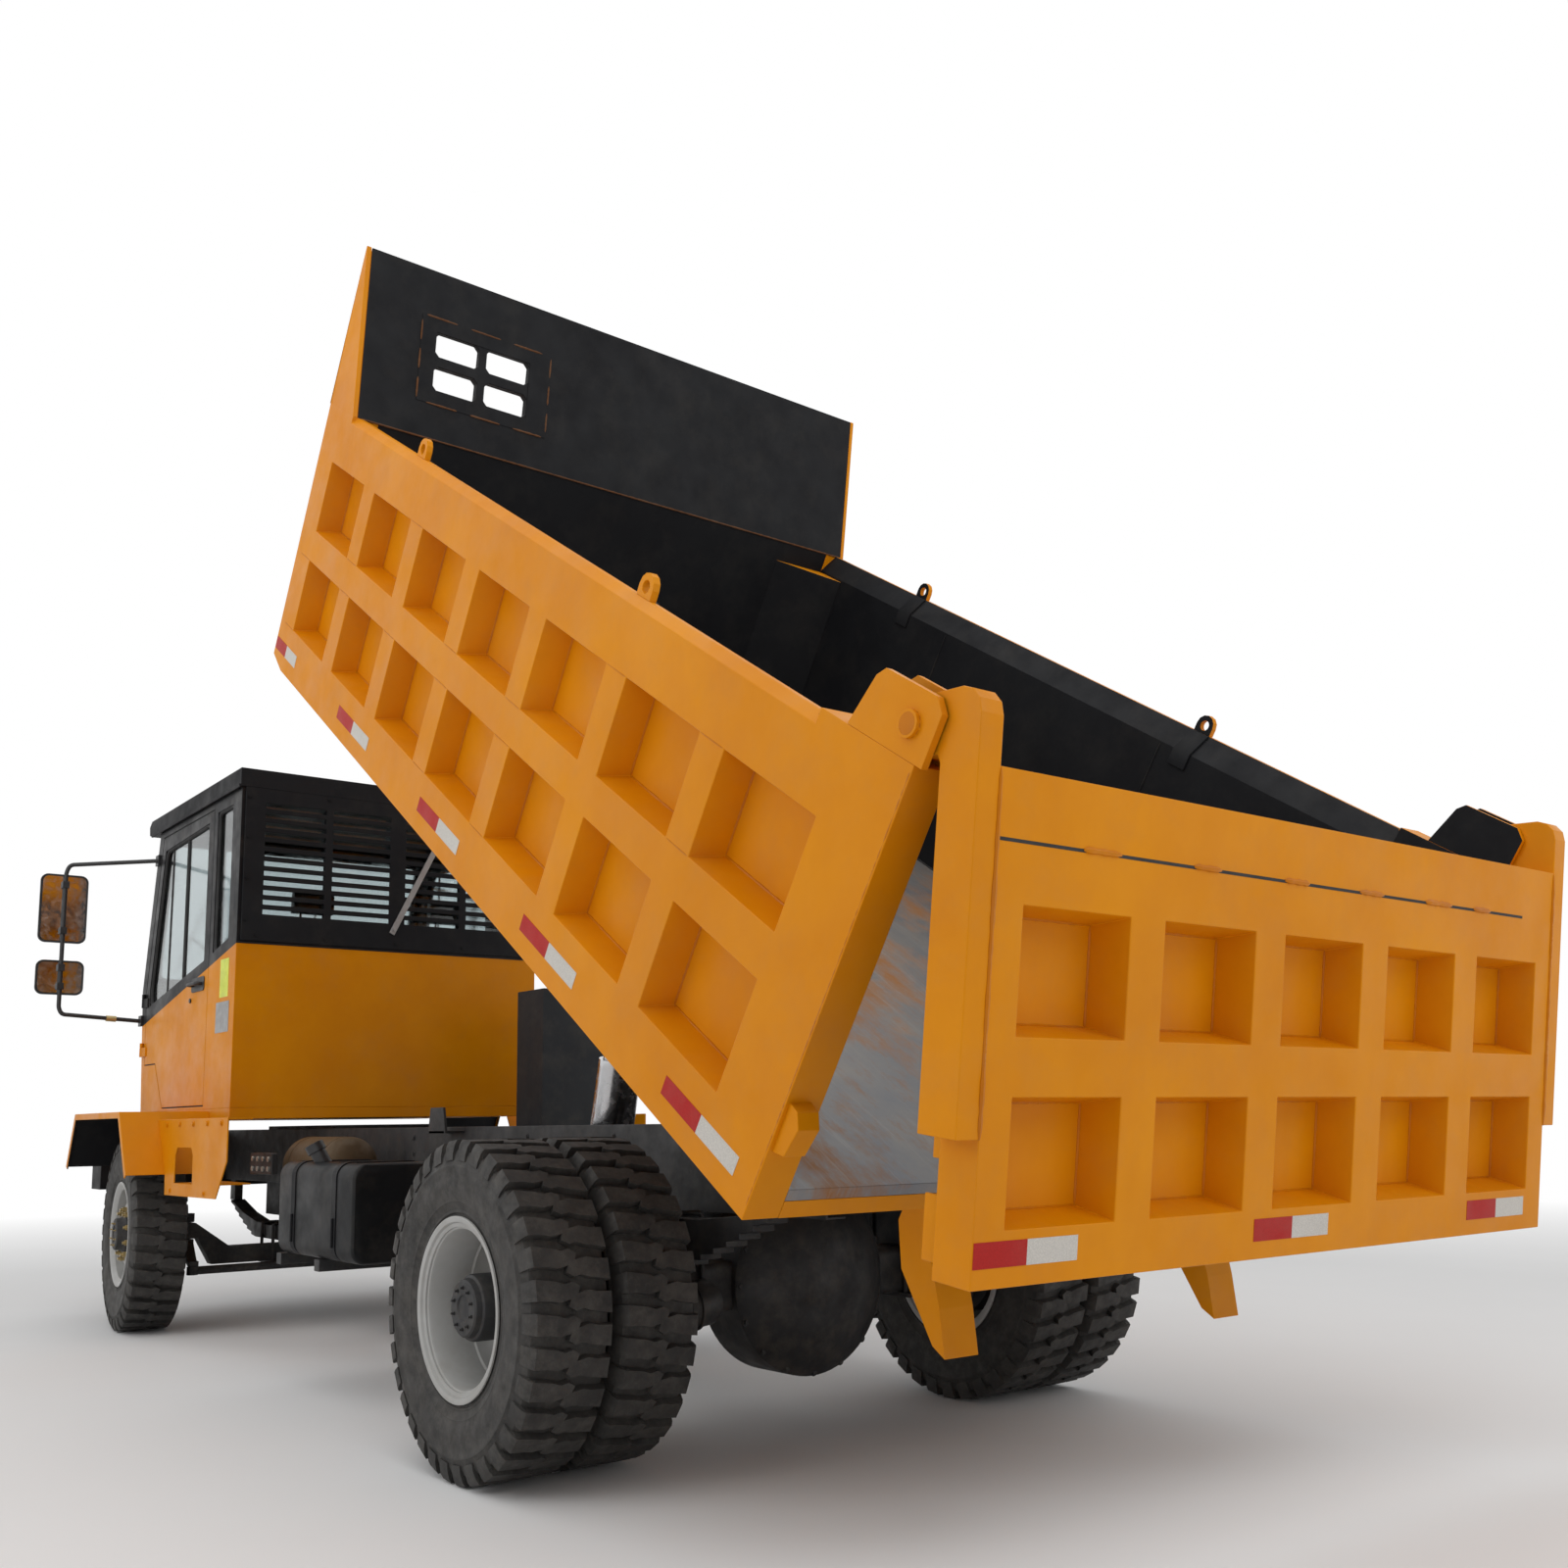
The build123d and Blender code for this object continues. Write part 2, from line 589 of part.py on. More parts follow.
def frame_rails():
    """Two channel rails, open towards each other."""
    z0, z1 = RAIL_TOP - RAIL_H, RAIL_TOP
    x = (RAIL_REAR_X, RAIL_FRONT_X)
    outer = block(x, (RAIL_Y - RAIL_FLANGE, RAIL_Y), (z0, z1))
    hollow = block((x[0] - 1, x[1] + 1), (RAIL_Y - RAIL_FLANGE - 1, RAIL_Y - RAIL_WEB),
                   (z0 + RAIL_WEB, z1 - RAIL_WEB))
    return pair(outer - hollow)


def cross_members():
    y = RAIL_Y - RAIL_WEB
    pieces = [block((x, x + length), (-y, y), (low, high)) for x, length, low, high in CROSS_MEMBERS]
    return pieces


def bed_hinge():
    """Plates behind the rails' ends, with the tube that the bed turns on."""
    tube = peg_y(HINGE_TUBE_R, (-RAIL_Y - 90, RAIL_Y + 90), HINGE_X, HINGE_Z)
    y = (RAIL_Y - 30, RAIL_Y)
    ear = plate_y([(RAIL_REAR_X, RAIL_TOP - 60), (RAIL_REAR_X, RAIL_TOP - 260), (HINGE_X, HINGE_Z - 80),
                   (HINGE_X - 70, HINGE_Z - 30), (HINGE_X - 70, HINGE_Z + 30), (HINGE_X - 20, HINGE_Z + 70)],
                  y)
    return joined([tube] + pair(ear))


def hoist_mount():
    """Hangers under the rails, each with a bore for a cylinder's trunnion."""
    low = RAIL_TOP - RAIL_H
    y = (RAIL_Y - 50, RAIL_Y)
    ear = plate_y([(HOIST_X - 160, low), (HOIST_X + 160, low), (HOIST_X + 65, HOIST_Z - 60),
                   (HOIST_X - 65, HOIST_Z - 60)], y)
    return pair(ear - bore_y(HOIST_PIN_R + RUN_GAP, (y[0] - 9, y[1] + 9), HOIST_X, HOIST_Z))


def upright(x, y, z, radius, sides=8):
    """A many-sided post between two heights."""
    return rod((x, y, z[0]), (x, y, z[1]), radius, sides)


def front_axle():
    """Forged beam, dropped in the middle, with an eye for each kingpin."""
    low, high = TYRE_R - 45, TYRE_R + 45
    half = [(0, 345), (770, 345), (KINGPIN_Y - 60, low), (KINGPIN_Y, low), (KINGPIN_Y, high),
            (KINGPIN_Y - 45, high), (670, 445), (0, 445)]
    beam = plate_x(half[1:-1] + [(-y, z) for y, z in reversed(half[1:-1])], (FRONT_X - 45, FRONT_X + 45))
    eyes = [upright(FRONT_X, side * KINGPIN_Y, (low, high), 50) for side in (-1, 1)]
    bore = (KINGPIN_R + RUN_GAP) / cos(pi / 12)
    bores = [upright(FRONT_X, side * KINGPIN_Y, (low - 9, high + 9), bore, 12) for side in (-1, 1)]
    return joined([beam] + eyes) - bores


def rear_axle():
    """Banjo housing with the round bowl for the gears, and a spindle at each end."""
    housing = block((-85, 85), (-790, 790), (TYRE_R - 90, TYRE_R + 90))
    bowl = turned([(0, -230), (170, -230), (350, -120), (350, 120), (230, 120), (90, 360), (0, 360)], 16)
    bowl = Pos(0, 0, TYRE_R) * Rot(0, 0, -90) * bowl
    spindles = peg_y(SPINDLE_R, (-REAR_HUB_Y - 240, REAR_HUB_Y + 240), 0, TYRE_R)
    plates = pair(peg_y(200, (790, 804), 0, TYRE_R, 12))
    return joined([housing, bowl, spindles] + plates)


def leaf_pack(x, y, seat_z, half, rise, leaves, thick):
    """A stack of bent leaves, longest on top, drawn as one stepped outline."""
    top = [(half * i / 3, seat_z + rise * (i / 3) ** 2) for i in range(-3, 4)]
    right = []
    for i in range(leaves):
        for reach in (1 - LEAF_STEP * i, 1 - LEAF_STEP * (i + 1)):
            right.append((half * reach, seat_z + rise * reach ** 2 - (i + 1) * thick))
    outline = top + right + [(-px, pz) for px, pz in reversed(right)]
    return plate_y([(x + px, pz) for px, pz in outline], (y - SPRING_W / 2, y + SPRING_W / 2))


def leaf_springs():
    rear = leaf_pack(0, REAR_SPRING_Y, TYRE_R + 90 + 8 * 20, 700, 60, 8, 20)
    front = leaf_pack(FRONT_X, FRONT_SPRING_Y, 455 + 6 * 16, 760, 130, 6, 16)
    return pair(rear) + pair(front)


def spring_hangers():
    """Brackets between the rails and the springs' ends."""
    pieces = []
    for x in (-700, 700):
        pieces += pair(block((x - 60, x + 60), (RAIL_Y, REAR_SPRING_Y + SPRING_W / 2), (855, 1000)))
    for x in (FRONT_X - 760, FRONT_X + 760):
        pieces += pair(block((x - 45, x + 45), (RAIL_Y - 60, RAIL_Y - 9), (681, RAIL_TOP - RAIL_H)))
    return pieces


def engine():
    return block((3900, 5050), (-310, 310), (600, 1150))


def driveline():
    """Gearbox and the shaft to the rear axle."""
    gearbox = block((3150, 3900), (-210, 210), (640, 1010))
    yoke = rod((360, 0, TYRE_R), (392, 0, TYRE_R), 85)
    shaft = rod((380, 0, TYRE_R), (3160, 0, 800), 55)
    return joined([gearbox, shaft, yoke])


def softened(y, z, corner):
    """A rectangle of (y, z) points with its corners cut twice."""
    near = corner * 0.3
    (y0, y1), (z0, z1) = y, z
    return [(y0 + corner, z0), (y1 - corner, z0), (y1 - near, z0 + near), (y1, z0 + corner),
            (y1, z1 - corner), (y1 - near, z1 - near), (y1 - corner, z1), (y0 + corner, z1),
            (y0 + near, z1 - near), (y0, z1 - corner), (y0, z0 + corner), (y0 + near, z0 + near)]


def fuel_tank():
    """Tank with soft corners, two straps and a slanted filler."""
    across, up = (820, 1205), (RACK_Z, 986)
    tank = plate_x(softened(across, up, 55), (1350, 2230))
    straps = [plate_x(softened((across[0], across[1] + 5), (up[0], up[1] + 5), 58),
                      (x, x + 45)) for x in (1530, 2010)]
    filler = rod((1900, 1110, 960), (1930, 1160, 1065), 42)
    return joined([tank, filler] + straps)


def tank_rack():
    """Arms under the fuel tank and the battery box, and brackets for the drum and the oil tank."""
    pieces = []
    low = RACK_Z - 50
    for x in RACK_X:
        arm = plate_x([(RAIL_Y, low), (1190, low), (1190, RACK_Z), (RAIL_Y + 40, RACK_Z),
                       (RAIL_Y + 40, 1000), (RAIL_Y, 1000)], (x, x + RACK_ARM))
        pieces += pair(arm)
    saddle_z = DRUM_Z - DRUM_R
    for x in (2700, 3160):
        pieces.append(block((x, x + 40), (RAIL_Y, 845), (saddle_z - 35, saddle_z + 25)) - air_drum())
    pieces.append(block((3110, 3390), (-1180, -RAIL_Y), (945, 985)))
    return pieces


def air_drum():
    return rod((2600, 700, DRUM_Z), (3310, 700, DRUM_Z), DRUM_R, 16)


def hydraulic_tank():
    corner = 45
    return plate_z([(3090, -1155), (3090 + corner, -1200), (3410 - corner, -1200), (3410, -1155),
                    (3410, -600), (3090, -600)], (985, 1925))


def battery_box():
    return block((1560, 2260), (-1150, -620), (RACK_Z, 940))


def bumper():
    """Front bumper with two tow lugs."""
    beam = block(BUMPER_X, (-BUMPER_HALF, BUMPER_HALF), BUMPER_Z)
    y = (TOW_Y - TOW_T / 2, TOW_Y + TOW_T / 2)
    lug = plate_y([(BUMPER_X[1], TOW_Z - 50), (TOW_X + 20, TOW_Z - 50), (TOW_X + 50, TOW_Z - 20),
                   (TOW_X + 50, TOW_Z + 20), (TOW_X + 20, TOW_Z + 50), (BUMPER_X[1], TOW_Z + 50)], y)
    lug -= bore_y(TOW_BORE, (y[0] - 9, y[1] + 9), TOW_X, TOW_Z, 8)
    return [beam] + pair(lug)


def headlamps():
    """Twin square lamps in the bumper's face."""
    front = BUMPER_X[1]
    ring = softened((860, 1120), (900, 1060), 30)
    back = [(front, y, z) for y, z in ring]
    lens = [(front + 30, y + (990 - y) * 0.12, z + (980 - z) * 0.12) for y, z in ring]
    return pair(solid_between(back, lens))


def fenders():
    """Trapezoid arches over the front wheels, open outward, with a lip round the outer edge."""
    arch = plate_y(list(ARCH) + shifted(ARCH, -ARCH_T)[::-1], (CAB_HALF, ARCH_Y - ARCH_T))
    lip = plate_y(list(ARCH) + shifted(ARCH, -ARCH_LIP)[::-1], (ARCH_Y - ARCH_T, ARCH_Y))
    return pair(joined([arch, lip]))


def steps():
    """Side steps behind the front wheels: a plate with a foot hole, a top plate and a tread."""
    low, high = ARCH[0], ARCH[1]
    front = low[0] + (CAB_LOW - low[1]) * (high[0] - low[0]) / (high[1] - low[1])
    skirt = plate_y([(3112, 789), (4004, 784), low, (front, CAB_LOW), (2954, CAB_LOW), (2954, 975)],
                    (SKIRT_Y, SKIRT_Y + 8))
    hole = plate_y([(3508, 852), (3836, 852), (3828, 1000), (3795, 1040), (3545, 1040), (3514, 1004)],
                   (SKIRT_Y - 1, SKIRT_Y + 9))
    top = block((3430, CAB_REAR), (CAB_HALF, SKIRT_Y), (CAB_LOW - 8, CAB_LOW))
    tread_plate = block((3430, 3880), (CAB_HALF, SKIRT_Y), (844, 852))
    return pair(skirt - hole) + pair(top) + pair(tread_plate)


# Cab

def wall_top():
    """Where the cab's walls meet its roof."""
    return ROOF_TOP - ROOF_T


def nose_x(z):
    """The cab's front face at a height, below or above its belt."""
    if z < BELT_Z:
        return NOSE_LOW_X + (BELT_X - NOSE_LOW_X) * (z - CAB_LOW) / (BELT_Z - CAB_LOW)
    return BELT_X + (SCREEN_TOP_X - BELT_X) * (z - BELT_Z) / (wall_top() - BELT_Z)


def cab_floor():
    return block((CAB_REAR, NOSE_LOW_X - CAB_WALL), (-CAB_HALF, CAB_HALF), (CAB_LOW, CAB_LOW + CAB_WALL))


def cab_rear():
    """Rear wall with the opening behind the guard."""
    wall = block((CAB_REAR, CAB_REAR + CAB_WALL), (-CAB_HALF, CAB_HALF), (CAB_LOW + CAB_WALL, wall_top()))
    return wall - plate_x(REAR_WINDOW, (CAB_REAR - 1, CAB_REAR + CAB_WALL + 1))


def rear_guard():
    """Slotted plate over the rear window."""
    plate = block((CAB_REAR - GUARD_T, CAB_REAR), (-CAB_HALF + 20, CAB_HALF - 20), GUARD_Z)
    half, rise = GUARD_SLOT
    slots = []
    for row in range(GUARD_ROWS):
        z = GUARD_FIRST_Z + row * GUARD_PITCH
        for middle in GUARD_COLUMNS:
            slots += pair(block((CAB_REAR - GUARD_T - 1, CAB_REAR + 1), (middle - half, middle + half),
                                (z - rise, z + rise)))
    return plate - slots


def cab_side():
    """Left side: rear panel with its window, then the frame of the door piece by piece, and the hinges."""
    y = (CAB_HALF - CAB_WALL, CAB_HALF)
    x0, z0, z1 = CAB_REAR + CAB_WALL, CAB_LOW + CAB_WALL, wall_top()
    sill_rear, sill_front, step_rear, step_front, belt, top_front, top_rear = shifted(DOOR, -DOOR_GAP, True)

    def edge(z):
        return nose_x(z) - CAB_WALL, z

    door_x = sill_rear[0]
    rear = plate_y([(x0, z0), (door_x, z0), (door_x, z1), (x0, z1)], y)
    rear -= plate_y(QUARTER, (y[0] - 1, y[1] + 1))
    sill = plate_y([(door_x, z0), (sill_front[0], z0), sill_front, sill_rear], y)
    low, high = edge(step_front[1]), edge(top_front[1])
    step = plate_y([(sill_front[0], z0), edge(z0), low, step_front, step_rear, sill_front], y)
    post = plate_y([step_front, low, edge(BELT_Z), high, top_front, belt], y)
    header = plate_y([top_rear, top_front, high, edge(z1), (door_x, z1)], y)
    hinges = []
    for z in DOOR_HINGE_Z:
        leaf = block((DOOR_AXIS_X + 4, DOOR_AXIS_X + 24), (CAB_HALF, DOOR_AXIS_Y), (z + 31, z + 60))
        hinges.append(joined([leaf, upright(DOOR_AXIS_X, DOOR_AXIS_Y, (z + 31, z + 60), 11)]))
    return [rear, sill, step, post, header] + hinges


def cab_front():
    """Nose panel, windscreen posts and header, with slats over the radiator's opening."""
    z0, z1 = CAB_LOW + CAB_WALL, wall_top()
    whole = (-CAB_HALF, CAB_HALF)

    def between(low, high):
        return [(nose_x(low), low), (nose_x(high), high), (nose_x(high) - CAB_WALL, high),
                (nose_x(low) - CAB_WALL, low)]

    nose = plate_y([(NOSE_LOW_X, CAB_LOW), (BELT_X, BELT_Z), (nose_x(SCREEN_LOW), SCREEN_LOW),
                    (nose_x(SCREEN_LOW) - CAB_WALL, SCREEN_LOW), (BELT_X - CAB_WALL, BELT_Z),
                    (nose_x(z0) - CAB_WALL, z0), (NOSE_LOW_X - CAB_WALL, CAB_LOW)], whole)
    header = plate_y(between(SCREEN_HIGH, z1), whole)
    post = plate_y(between(SCREEN_LOW, SCREEN_HIGH), (SCREEN_HALF, CAB_HALF))
    slats = []
    for i in range(SLATS):
        z = SLAT_FIRST_Z + i * SLAT_PITCH
        top = z + SLAT_H
        slats.append(plate_y([(nose_x(z), z), (nose_x(z) + SLAT_T, z), (nose_x(top) + SLAT_T, top),
                              (nose_x(top), top)], (-SLAT_HALF, SLAT_HALF)))
    return [nose, header] + pair(post) + slats


def cab_roof():
    """Roof plate that reaches a little over the walls, its front edge cut back below."""
    z0, z1 = wall_top(), ROOF_TOP
    outline = [(CAB_REAR - GUARD_T, z0), (ROOF_FRONT - 62, z0), (ROOF_FRONT - 10, z0 + 16),
               (ROOF_FRONT, z1 - 34), (ROOF_FRONT - 50, z1), (CAB_REAR - GUARD_T, z1)]
    return plate_y(outline, (-ROOF_HALF, ROOF_HALF))


def cab_glass():
    """Windscreen, quarter windows and the pane behind the guard."""
    mid = CAB_WALL / 2
    low_x, high_x = nose_x(SCREEN_LOW) - mid, nose_x(SCREEN_HIGH) - mid
    screen = plate_y([(low_x, SCREEN_LOW), (low_x + GLASS_T, SCREEN_LOW), (high_x + GLASS_T, SCREEN_HIGH),
                      (high_x, SCREEN_HIGH)], (-SCREEN_HALF, SCREEN_HALF))
    quarter = plate_y(QUARTER, (CAB_HALF - mid, CAB_HALF - mid + GLASS_T))
    rear = plate_x(REAR_WINDOW, (CAB_REAR + mid, CAB_REAR + mid + GLASS_T))
    return [screen, rear] + pair(quarter)


def seats():
    """Driver's and passenger's seats on pedestals."""
    pieces = []
    z0 = CAB_LOW + CAB_WALL
    for y in (-430, 430):
        base = block((4185, 4585), (y - 180, y + 180), (z0, z0 + 300))
        cushion = block((4125, 4645), (y - 250, y + 250), (z0 + 300, z0 + 430))
        back = plate_y([(4125, z0 + 430), (4245, z0 + 430), (4115, z0 + 1120), (4015, z0 + 1120)],
                       (y - 240, y + 240))
        rest = plate_y([(4025, z0 + 1120), (4105, z0 + 1120), (4085, z0 + 1290), (4025, z0 + 1290)],
                       (y - 130, y + 130))
        pieces += [base, cushion, back, rest]
    return pieces


def dashboard():
    half = CAB_HALF - CAB_WALL - 5
    return plate_y([(5150, 2000), (5200, 2050), (5590, 2050), (5590, 1700), (5300, 1650)], (-half, half))


def steering_wheel():
    """Rim, three spokes and the column down to the dashboard."""
    hub = (4985, 430, 2120)
    lean = 48.2
    face = Pos(*hub) * Rot(0, -lean, 0) * Rot(90, 0, 0)
    ring = face * turned([(200, -14), (230, -14), (230, 14), (200, 14)], 16)
    spokes = [face * Rot(0, a, 0) * Pos(105, 0, 0) * Box(214, 14, 36) for a in (0, 120, 240)]
    column = rod(hub, (5230, 430, 1901), 24) - dashboard()
    return joined([ring] + spokes + [column])


def mirrors():
    """Tube arms from the windscreen pillars, each with a tall and a small mirror."""
    pole_x, pole_y, high, low = 5750, 1446, 2852, 1880
    top, foot = (5507, CAB_HALF + 12, 2890), (5742, CAB_HALF + 12, 1850)
    clamps = [block((x - 35, x + 28), (CAB_HALF, CAB_HALF + 16), (z - 35, z + 35))
              for x, _, z in (top, foot)]
    path = [top, (pole_x - 8, pole_y - 40, high), (pole_x, pole_y, high - 40), (pole_x, pole_y, low + 40),
            (pole_x - 2, pole_y - 40, low), foot]
    tubes = [rod(a, b, 15, 6) for a, b in zip(path, path[1:])]
    backs = []
    for z in ((2342, 2788), (2006, 2228)):
        ring = softened((1305, 1590), z, 40)
        backs.append(solid_between([(pole_x + 12, y, up) for y, up in ring],
                                   [(pole_x + 62, y, up) for y, up in ring]))
    return pair(joined(clamps + tubes + backs))


# Steering

def knuckle():
    """Left knuckle on its kingpin, with the spindle and the dropped arm for the tie rod."""
    z = TYRE_R
    x = (FRONT_X - 45, FRONT_X + 45)
    ears = [upright(FRONT_X, KINGPIN_Y, (z + low, z + low + 50), 48) for low in (50, -100)]
    pin = upright(FRONT_X, KINGPIN_Y, (z - 95, z + 95), KINGPIN_R, 12)
    web = block(x, (KINGPIN_Y + 56, KINGPIN_Y + 96), (z - 100, z + 100))
    links = [block(x, (KINGPIN_Y, KINGPIN_Y + 96), (z + low, z + low + 50)) for low in (50, -100)]
    spindle = peg_y(STUB_R, (KINGPIN_Y + 90, FRONT_WHEEL_Y + 130), FRONT_X, z)
    end = FRONT_X - STEER_ARM
    drop = z - TIE_ROD_DROP
    arm = plate_y([(FRONT_X - 30, z - 62), (FRONT_X - 30, z - 130), (end + 30, drop + 25),
                   (end - 34, drop + 25), (end - 34, drop + 55), (end + 20, drop + 55),
                   (FRONT_X - 80, z - 62)], (KINGPIN_Y - 30, KINGPIN_Y + 20))
    return joined(ears + [pin, web] + links + [spindle, arm])


def tie_rod():
    """Rod between the two steering arms, with its ends under them."""
    z = TYRE_R - TIE_ROD_DROP
    x = FRONT_X - STEER_ARM
    bar = rod((x, -KINGPIN_Y, z), (x, KINGPIN_Y, z), 24)
    ends = [upright(x, side * (KINGPIN_Y - 5), (z - 24, z + 24), 34) for side in (-1, 1)]
    return joined([bar] + ends)


def steered(shape, side):
    """A shape on the left (1) or right (-1) kingpin, turned as the photo shows."""
    pin = (FRONT_X, side * KINGPIN_Y, 0)
    return Pos(*pin) * Rot(0, 0, STEER_AT) * Pos(-pin[0], -pin[1], 0) * shape


def rod_place(shape):
    """The tie rod where the turned arms hold it."""
    turn = radians(STEER_AT)
    return Pos(STEER_ARM * (1 - cos(turn)), -STEER_ARM * sin(turn), 0) * shape


# Hoist

def open_length():
    """Length of the raised hoist between its trunnion and its upper pin."""
    x, z = bed_point(HOIST_U, HOIST_W)
    return ((x - HOIST_X) ** 2 + (z - HOIST_Z) ** 2) ** 0.5


def closed_length():
    """The same with the bed down."""
    x = HINGE_X + HOIST_U - HINGE_U
    z = HINGE_Z + HOIST_W - HINGE_W
    return ((x - HOIST_X) ** 2 + (z - HOIST_Z) ** 2) ** 0.5


def stroke():
    """How far each stage comes out of the one below."""
    return (open_length() - closed_length()) / STAGES


def tube_up(outer_r, low, high, bore_r=0.0):
    """A many-sided tube along the hoist's own axis."""
    tube = Pos(0, 0, low) * extrude(RegularPolygon(outer_r, HOIST_SIDES), amount=high - low)
    if not bore_r:
        return tube
    return tube - Pos(0, 0, low - 1) * extrude(RegularPolygon(bore_r, HOIST_SIDES), amount=high - low + 2)


def in_hoist(shape):
    """From the left cylinder's own frame, trunnion at its origin and axis up, to both cylinders."""
    x, z = bed_point(HOIST_U, HOIST_W)
    plane = Plane(origin=(HOIST_X, HOIST_Y, HOIST_Z), x_dir=(0, 1, 0), z_dir=(x - HOIST_X, 0, z - HOIST_Z))
    return pair(plane.location * shape)


def hoist_barrels():
    """Outer tubes, closed below, each with a round trunnion that turns in its hanger."""
    top = closed_length() - HOIST_HEAD
    tube = tube_up(HOIST_R[0], BARREL_LOW, top, HOIST_R[1] + RUN_GAP)
    base = tube_up(HOIST_R[0] + 6, BARREL_LOW - 16, BARREL_LOW + 4)
    reach = RAIL_Y - HOIST_Y - (HOIST_R[0] - 14)
    trunnion = rod((HOIST_R[0] - 14, 0, 0), (HOIST_R[0] - 14 + reach, 0, 0), HOIST_PIN_R, 12)
    return in_hoist(joined([tube, base, trunnion]))


def hoist_stage(index):
    """A hollow middle stage, drawn at its raised place."""
    lift = index * stroke()
    top = closed_length() - HOIST_HEAD + index * 12 + lift
    low = BARREL_LOW + 14 + lift
    return in_hoist(tube_up(HOIST_R[index], low, top, HOIST_R[index + 1] + RUN_GAP))


def hoist_rods():
    """Inner rods with the eyes round the bed's cross tube."""
    length = open_length()
    rod_body = tube_up(HOIST_R[STAGES], BARREL_LOW + 14 + STAGES * stroke(), length - HOIST_EYE + 10)
    eye = rod((-45, 0, length), (45, 0, length), HOIST_EYE, 12)
    bore = rod((-50, 0, length), (50, 0, length), (HOIST_PIN_R + 20) / cos(pi / 12), 12)
    return in_hoist(joined([rod_body, eye]) - bore)


# Doors

def door():
    """Left door, as thick as the cab's wall, with its window cut and two hinge barrels."""
    y = (CAB_HALF - CAB_WALL, CAB_HALF)
    panel = plate_y(DOOR, y) - plate_y(DOOR_WINDOW, (y[0] - 1, y[1] + 1))
    axis, face = DOOR_AXIS_X, CAB_HALF
    leaf = [(axis - 75, face), (axis - 46, face), (axis - 42, face + 4), (axis, face + 4),
            (axis, DOOR_AXIS_Y + 5), (axis - 75, face + 8)]
    leaves = [plate_z(leaf, (z - 30, z + 30)) for z in DOOR_HINGE_Z]
    barrels = [upright(DOOR_AXIS_X, DOOR_AXIS_Y, (z - 30, z + 30), 11) for z in DOOR_HINGE_Z]
    return joined([panel] + [joined([leaf, barrel]) for leaf, barrel in zip(leaves, barrels)])


def door_glass():
    y = CAB_HALF - CAB_WALL / 2
    return plate_y(DOOR_WINDOW, (y, y + GLASS_T))


def rear_place(shape):
    return Pos(0, REAR_HUB_Y, TYRE_R) * shape


def front_place(shape):
    return Pos(FRONT_X, FRONT_WHEEL_Y, TYRE_R) * shape


def nodes():
    """Every node by name, with its solids."""
    one = tyre()
    twin = [rear_place(Pos(0, side * DUAL_SPACING / 2, 0) * one) for side in (1, -1)]
    twin_rim = rear_place(twin_rims())
    front_tyre = front_place(one)
    f_rim = front_place(front_rim())
    side = [in_bed(piece) for piece in bed_side()]
    knuckle_l = knuckle()
    door_l = door()
    glass_l = door_glass()
    return {
        "frame_rails": frame_rails(),
        "cross_members": cross_members(),
        "bed_hinge": [bed_hinge()],
        "hoist_mount": hoist_mount(),
        "front_axle": [front_axle()],
        "rear_axle": [rear_axle()],
        "leaf_springs": leaf_springs(),
        "spring_hangers": spring_hangers(),
        "engine": [engine()],
        "driveline": [driveline()],
        "fuel_tank": [fuel_tank()],
        "tank_rack": tank_rack(),
        "air_drum": [air_drum()],
        "hydraulic_tank": [hydraulic_tank()],
        "battery_box": [battery_box()],
        "bumper": bumper(),
        "headlamps": headlamps(),
        "fenders": fenders(),
        "steps": steps(),
        "cab_floor": [cab_floor()],
        "cab_rear": [cab_rear()],
        "rear_guard": [rear_guard()],
        "cab_sides": [piece for shape in cab_side() for piece in pair(shape)],
        "cab_front": cab_front(),
        "cab_roof": [cab_roof()],
        "cab_glass": cab_glass(),
        "seats": seats(),
        "dashboard": [dashboard()],
        "steering_wheel": [steering_wheel()],
        "mirrors": mirrors(),
        "bed_floor": [in_bed(bed_floor())],
        "bed_beams": [in_bed(piece) for piece in bed_beams()],
        "bed_side_l": side,
        "bed_side_r": [mirrored(piece) for piece in side],
        "bed_front": [in_bed(piece) for piece in bed_front()],
        "bed_fittings": [in_bed(piece) for piece in bed_fittings()],
        "gate_panel": [in_gate(piece) for piece in gate_panel()],
        "gate_arms": [in_gate(arm) for arm in gate_arms()],
        "knuckle_l": [steered(knuckle_l, 1)],
        "knuckle_r": [steered(mirrored(knuckle_l), -1)],
        "tie_rod": [rod_place(tie_rod())],
        "tyre_fl": [steered(front_tyre, 1)],
        "rim_fl": [steered(f_rim, 1)],
        "tyre_fr": [steered(mirrored(front_tyre), -1)],
        "rim_fr": [steered(mirrored(f_rim), -1)],
        "tyres_rl": twin,
        "rims_rl": [twin_rim],
        "tyres_rr": [mirrored(t) for t in twin],
        "rims_rr": [mirrored(twin_rim)],
        "hoist_barrels": hoist_barrels(),
        "hoist_stage_1": hoist_stage(1),
        "hoist_stage_2": hoist_stage(2),
        "hoist_rods": hoist_rods(),
        "door_l": [door_l],
        "door_r": [mirrored(door_l)],
        "door_glass_l": [glass_l],
        "door_glass_r": [mirrored(glass_l)],
    }


def middle_x(built):
    """The middle of the truck's length."""
    whole = Compound([solid for solids in built.values() for solid in solids]).bounding_box()
    return (whole.min.X + whole.max.X) / 2


def main():
    """Centres the truck over its origin and writes one file for each node."""
    built = nodes()
    shift = Pos(-middle_x(built), 0, 0)
    os.makedirs("parts", exist_ok=True)
    for name, solids in built.items():
        placed = [shift * solid for solid in solids]
        export_step(Compound(placed) if len(placed) > 1 else placed[0], f"parts/{name}.step")


main()
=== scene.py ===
import json
import math
import random

